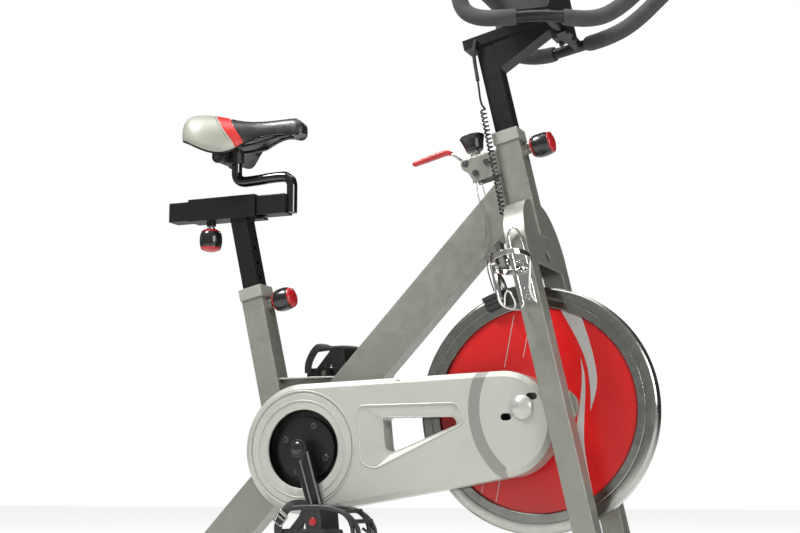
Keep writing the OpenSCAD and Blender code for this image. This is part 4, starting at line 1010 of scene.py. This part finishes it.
def rounded_rect(w, h, r):
    """Outline of a rectangle with half sides w and h and corners of radius r."""
    out = []
    for cx, cy, turn in ((w - r, h - r, 0), (r - w, h - r, 90), (r - w, r - h, 180), (w - r, r - h, 270)):
        out += [(cx + r * cosd(turn + 15 * i), cy + r * sind(turn + 15 * i)) for i in range(7)]
    return out


def pedal_block():
    """Two end plates, two bars, a middle rib, the axle's sleeve and the studs on both bars."""
    parts = [side_prism(rounded_rect(48, 12, 5), y, y + 8) for y in (Y_IN, Y_OUT - 8)]
    parts += [box_part((x, Y_IN + 6, -11), (x + 9, Y_OUT - 6, 11)) for x in (-48, 39)]
    parts.append(box_part((-46, 154, -7), (46, 162, 7)))
    parts.append(turned([(6.3, Y_IN + 0.5), (11.4, Y_IN + 0.5), (12, Y_IN + 1.2), (12, Y_OUT - 3),
                         (6.3, Y_OUT - 3)], 40, ALONG_Y, ring=True))
    for x in (-46, 41):
        for y in range(Y_IN + 14, Y_IN + 70, 8):
            parts.append(box_part((x + 0.8, y, 10.5), (x + 4.2, y + 3.5, 13.4)))
    return join(*parts)


def toe_cage():
    """Two side loops with their plates, three cross bars, two toe ribs and the front bumper."""
    sides = (Y_IN + 4, Y_OUT - 4)
    parts = []
    for y in sides:
        loop = [(-30, y, 50), (0, y, 53), (50, y, 53), (88, y, 44), (112, y, 20), (116, y, -4), (104, y, -9),
                (50, y, -9)]
        parts.append(tube(smooth(loop), 3.6, 14, flat=1.35))
        parts.append(side_prism([(10, 10), (41, 10), (37, 52), (3, 52)], y - 2.2, y + 2.2))
        parts.append(side_prism([(-28, 10), (-9, 10), (16, 40), (8, 52)], y - 1.8, y + 1.8))
    for x, z in ((116, -2), (107, 28), (86, 46)):
        cross = [Vector((x, Y_IN + 3, z)), Vector((x, Y_OUT - 3, z))]
        parts.append(tube(cross, 3.4, 14, up=(1, 0, 0), flat=1.2))
    for y in sides:
        rib = [(60, y, 52), (80, y, 46), (98, y, 30), (104, y, 6), (104, y, -8)]
        parts.append(tube(smooth(rib), 5.2, flat=0.7))
    bumper = [(112, Y_IN + 24, 16), (128, Y_IN + 30, 4), (128, Y_OUT - 30, 4), (112, Y_OUT - 24, 16)]
    parts.append(tube(smooth(bumper, 2), 2.6, 12, up=(0, 0, 1)))
    return join(*parts)


def strap_buckle():
    """Flat frame with its bar and its roller."""
    return join(hollow_prism(rounded_rect(11, 13, 3), rounded_rect(8.6, 10.4, 2), -1.3, 1.3),
                tube([Vector((-9, 0, 1.0)), Vector((9, 0, 1.0))], 1.3, 10),
                tube([Vector((-9, 8.5, 2.2)), Vector((9, 8.5, 2.2))], 2.2, 12))


STRAP = [(-44, 199.5, 2), (-45, 201.5, 20), (-34, 201, 42), (-22, 197, 57), (-18, 180, 60), (-18, 158, 61),
         (-18, 136, 60), (-22, 119, 57), (-34, 116, 42), (-44, 116, 20), (-44, 117.5, 2)]
BUCKLE = move(-38, 203.6, 33) @ spin(90, "X") @ spin(-38, "Z")
BADGE = [(0, 0), (6.6, 0), (7.2, 0.6), (7.2, 1.6), (5.6, 2.4), (5.2, 1.9), (3.2, 1.9), (2.8, 2.6), (0, 2.9)]
PEDAL_CAP = [(0, 0), (8.4, 0), (9, 0.6), (9, 2.4), (7.4, 3.2), (0, 3.2)]


def pedal(tag, body, matrix):
    """Pedal with its toe cage, strap, buckle, badge and axle cap."""
    bevel(piece("pedal_" + tag, pedal_block(), "soft_black", body, matrix), 0.8)
    piece("toe_cage_" + tag, toe_cage(), "soft_black", body, matrix)
    piece("strap_" + tag, tube(smooth(STRAP), 8.5, 12, up=(1, 0, 0), flat=0.14), "strap_webbing", body,
          matrix)
    bevel(piece("strap_buckle_" + tag, strap_buckle(), "chrome", body, matrix @ BUCKLE), 0.4)
    piece("pedal_badge_" + tag, turned(BADGE, 40, move(23.5, Y_OUT - 1.9, 27) @ ALONG_Y), "red_gloss", body,
          matrix)
    piece("pedal_cap_" + tag, turned(PEDAL_CAP, 40, move(0, Y_OUT - 0.3) @ ALONG_Y), "soft_black", body,
          matrix)


pedal("r", "pedal_right", move(PEDAL[0], 0, PEDAL[1]) @ MIRROR)
pedal("l", "pedal_left", move(-PEDAL[0], 0, -PEDAL[1]))

# ---- weld beads on the frame ----


def bead(path, r, seed):
    """Weld bead: a low ridge of overlapping ripples along a path."""
    path = [Vector(p) for p in path]
    spots = random.Random(seed)
    length = sum((b - a).length for a, b in zip(path, path[1:]))
    count = max(int(length / 1.6), 2)
    dense = []
    for i in range(count + 1):
        goal, run = length * i / count, 0.0
        for a, b in zip(path, path[1:]):
            step = (b - a).length
            if run + step >= goal - 1e-6:
                dense.append(a.lerp(b, (goal - run) / step))
                break
            run += step
    last = len(dense) - 1
    sizes = [r * (0.86 + 0.22 * (i % 2) + 0.06 * spots.random()) for i in range(len(dense))]
    return tube(dense, lambda t: sizes[min(int(t * last + 0.5), last)], 10, up=(0.3, 0.9, 0.2))


beads = []
for s in (-1, 1):
    beads.append(bead([(-107, s * 21.8, 71), (-63, s * 22.4, 24), (-45, s * 21, 8)], 1.8, 5))
    beads.append(bead([(404, s * 21, 534), (429, s * 21, 424), (437, s * 21, 392)], 1.8, 7))
beads.append(bead([(23.6 * cosd(a), 21.5, 23.6 * sind(a)) for a in range(0, 361, 12)], 1.7, 9))
piece("weld_beads", join(*beads), "frame_paint", "base", angle=80)

# ---- stage, light and camera ----

CAMERA_PLACE = (1243.71, -2496.46, -78.27)
CAMERA_TILT, CAMERA_PAN = 99.077, 23.396
WHITE = (1, 1, 1, 1)


def floor(half=14.0):
    """Pale floor, a little brighter to the camera than the lamps make it."""
    mesh = bpy.data.meshes.new("floor")
    mesh.from_pydata([(-half, -half, 0), (half, -half, 0), (half, half, 0), (-half, half, 0)], [],
                     [(0, 1, 2, 3)])
    obj = bpy.data.objects.new("floor", mesh)
    bpy.context.scene.collection.objects.link(obj)
    mat = bpy.data.materials.new("floor")
    mat.use_nodes = True
    tree = mat.node_tree
    shader = tree.nodes["Principled BSDF"]
    glow = product(tree, add(tree, "ShaderNodeLightPath").outputs["Is Camera Ray"], 0.70)
    feed(tree, shader, {"Base Color": (0.86, 0.86, 0.85, 1), "Roughness": 0.7,
                        "Emission Color": (1, 1, 0.99, 1), "Emission Strength": glow})
    mesh.materials.append(mat)


def studio():
    """Soft surroundings, brightest over the near side, in broad upright bands, and white to the camera."""
    world = bpy.data.worlds.new("studio")
    bpy.context.scene.world = world
    world.use_nodes = True
    tree = world.node_tree
    tree.nodes.clear()
    direction = add(tree, "ShaderNodeTexCoord").outputs["Generated"]
    facing = add(tree, "ShaderNodeVectorMath", {0: direction, 1: (-0.30, -0.78, 0.55)},
                 operation="DOT_PRODUCT")
    split = add(tree, "ShaderNodeSeparateXYZ", {0: direction})
    near_glow = ramp(tree, facing.outputs["Value"], -0.25, 0.95, 0.10, 0.95)
    floor_dim = ramp(tree, split.outputs[2], -0.35, 0.10, 0.45, 1.0)
    bands = ramp(tree, math_node(tree, "SINE", product(tree, split.outputs[0], 3.6)), -0.4, 0.45, 0.66, 1.0)
    level = product(tree, near_glow, floor_dim, bands, 0.52)
    lit = add(tree, "ShaderNodeBackground", {"Color": WHITE, "Strength": level})
    seen = add(tree, "ShaderNodeBackground", {"Color": WHITE, "Strength": 1.0})
    is_camera = add(tree, "ShaderNodeLightPath").outputs["Is Camera Ray"]
    both = add(tree, "ShaderNodeMixShader", {0: is_camera, 1: lit.outputs[0], 2: seen.outputs[0]})
    add(tree, "ShaderNodeOutputWorld", {0: both.outputs[0]})


def area(name, place, aim, size, power):
    """Square lamp at place, in metres, turned to aim."""
    lamp = bpy.data.lights.new(name, "AREA")
    lamp.shape = "RECTANGLE"
    lamp.size, lamp.size_y = size, size
    lamp.energy = power
    obj = bpy.data.objects.new(name, lamp)
    obj.location = place
    obj.rotation_euler = (Vector(aim) - Vector(place)).to_track_quat("-Z", "Y").to_euler()
    bpy.context.scene.collection.objects.link(obj)


floor()
studio()
area("key", (-1.5, -1.35, 3.2), (0.0, 0.0, 0.6), 0.8, 152)
area("front", (2.6, -1.5, 1.3), (0.1, 0.0, 0.6), 1.2, 52)
area("rim", (-0.6, 2.2, 2.6), (0.1, 0.0, 0.7), 1.0, 22)
area("top", (0.2, -0.3, 3.2), (0.0, 0.0, 0.6), 1.6, 34)

cam = bpy.data.cameras.new("camera")
cam.lens = 63.0
cam.sensor_width = 36.0
camera = bpy.data.objects.new("camera", cam)
camera.location = CRANK + Vector(CAMERA_PLACE) * MM
camera.rotation_euler = (math.radians(CAMERA_TILT), 0, math.radians(CAMERA_PAN))
bpy.context.scene.collection.objects.link(camera)
bpy.context.scene.camera = camera
bpy.context.scene.view_settings.view_transform = "Standard"
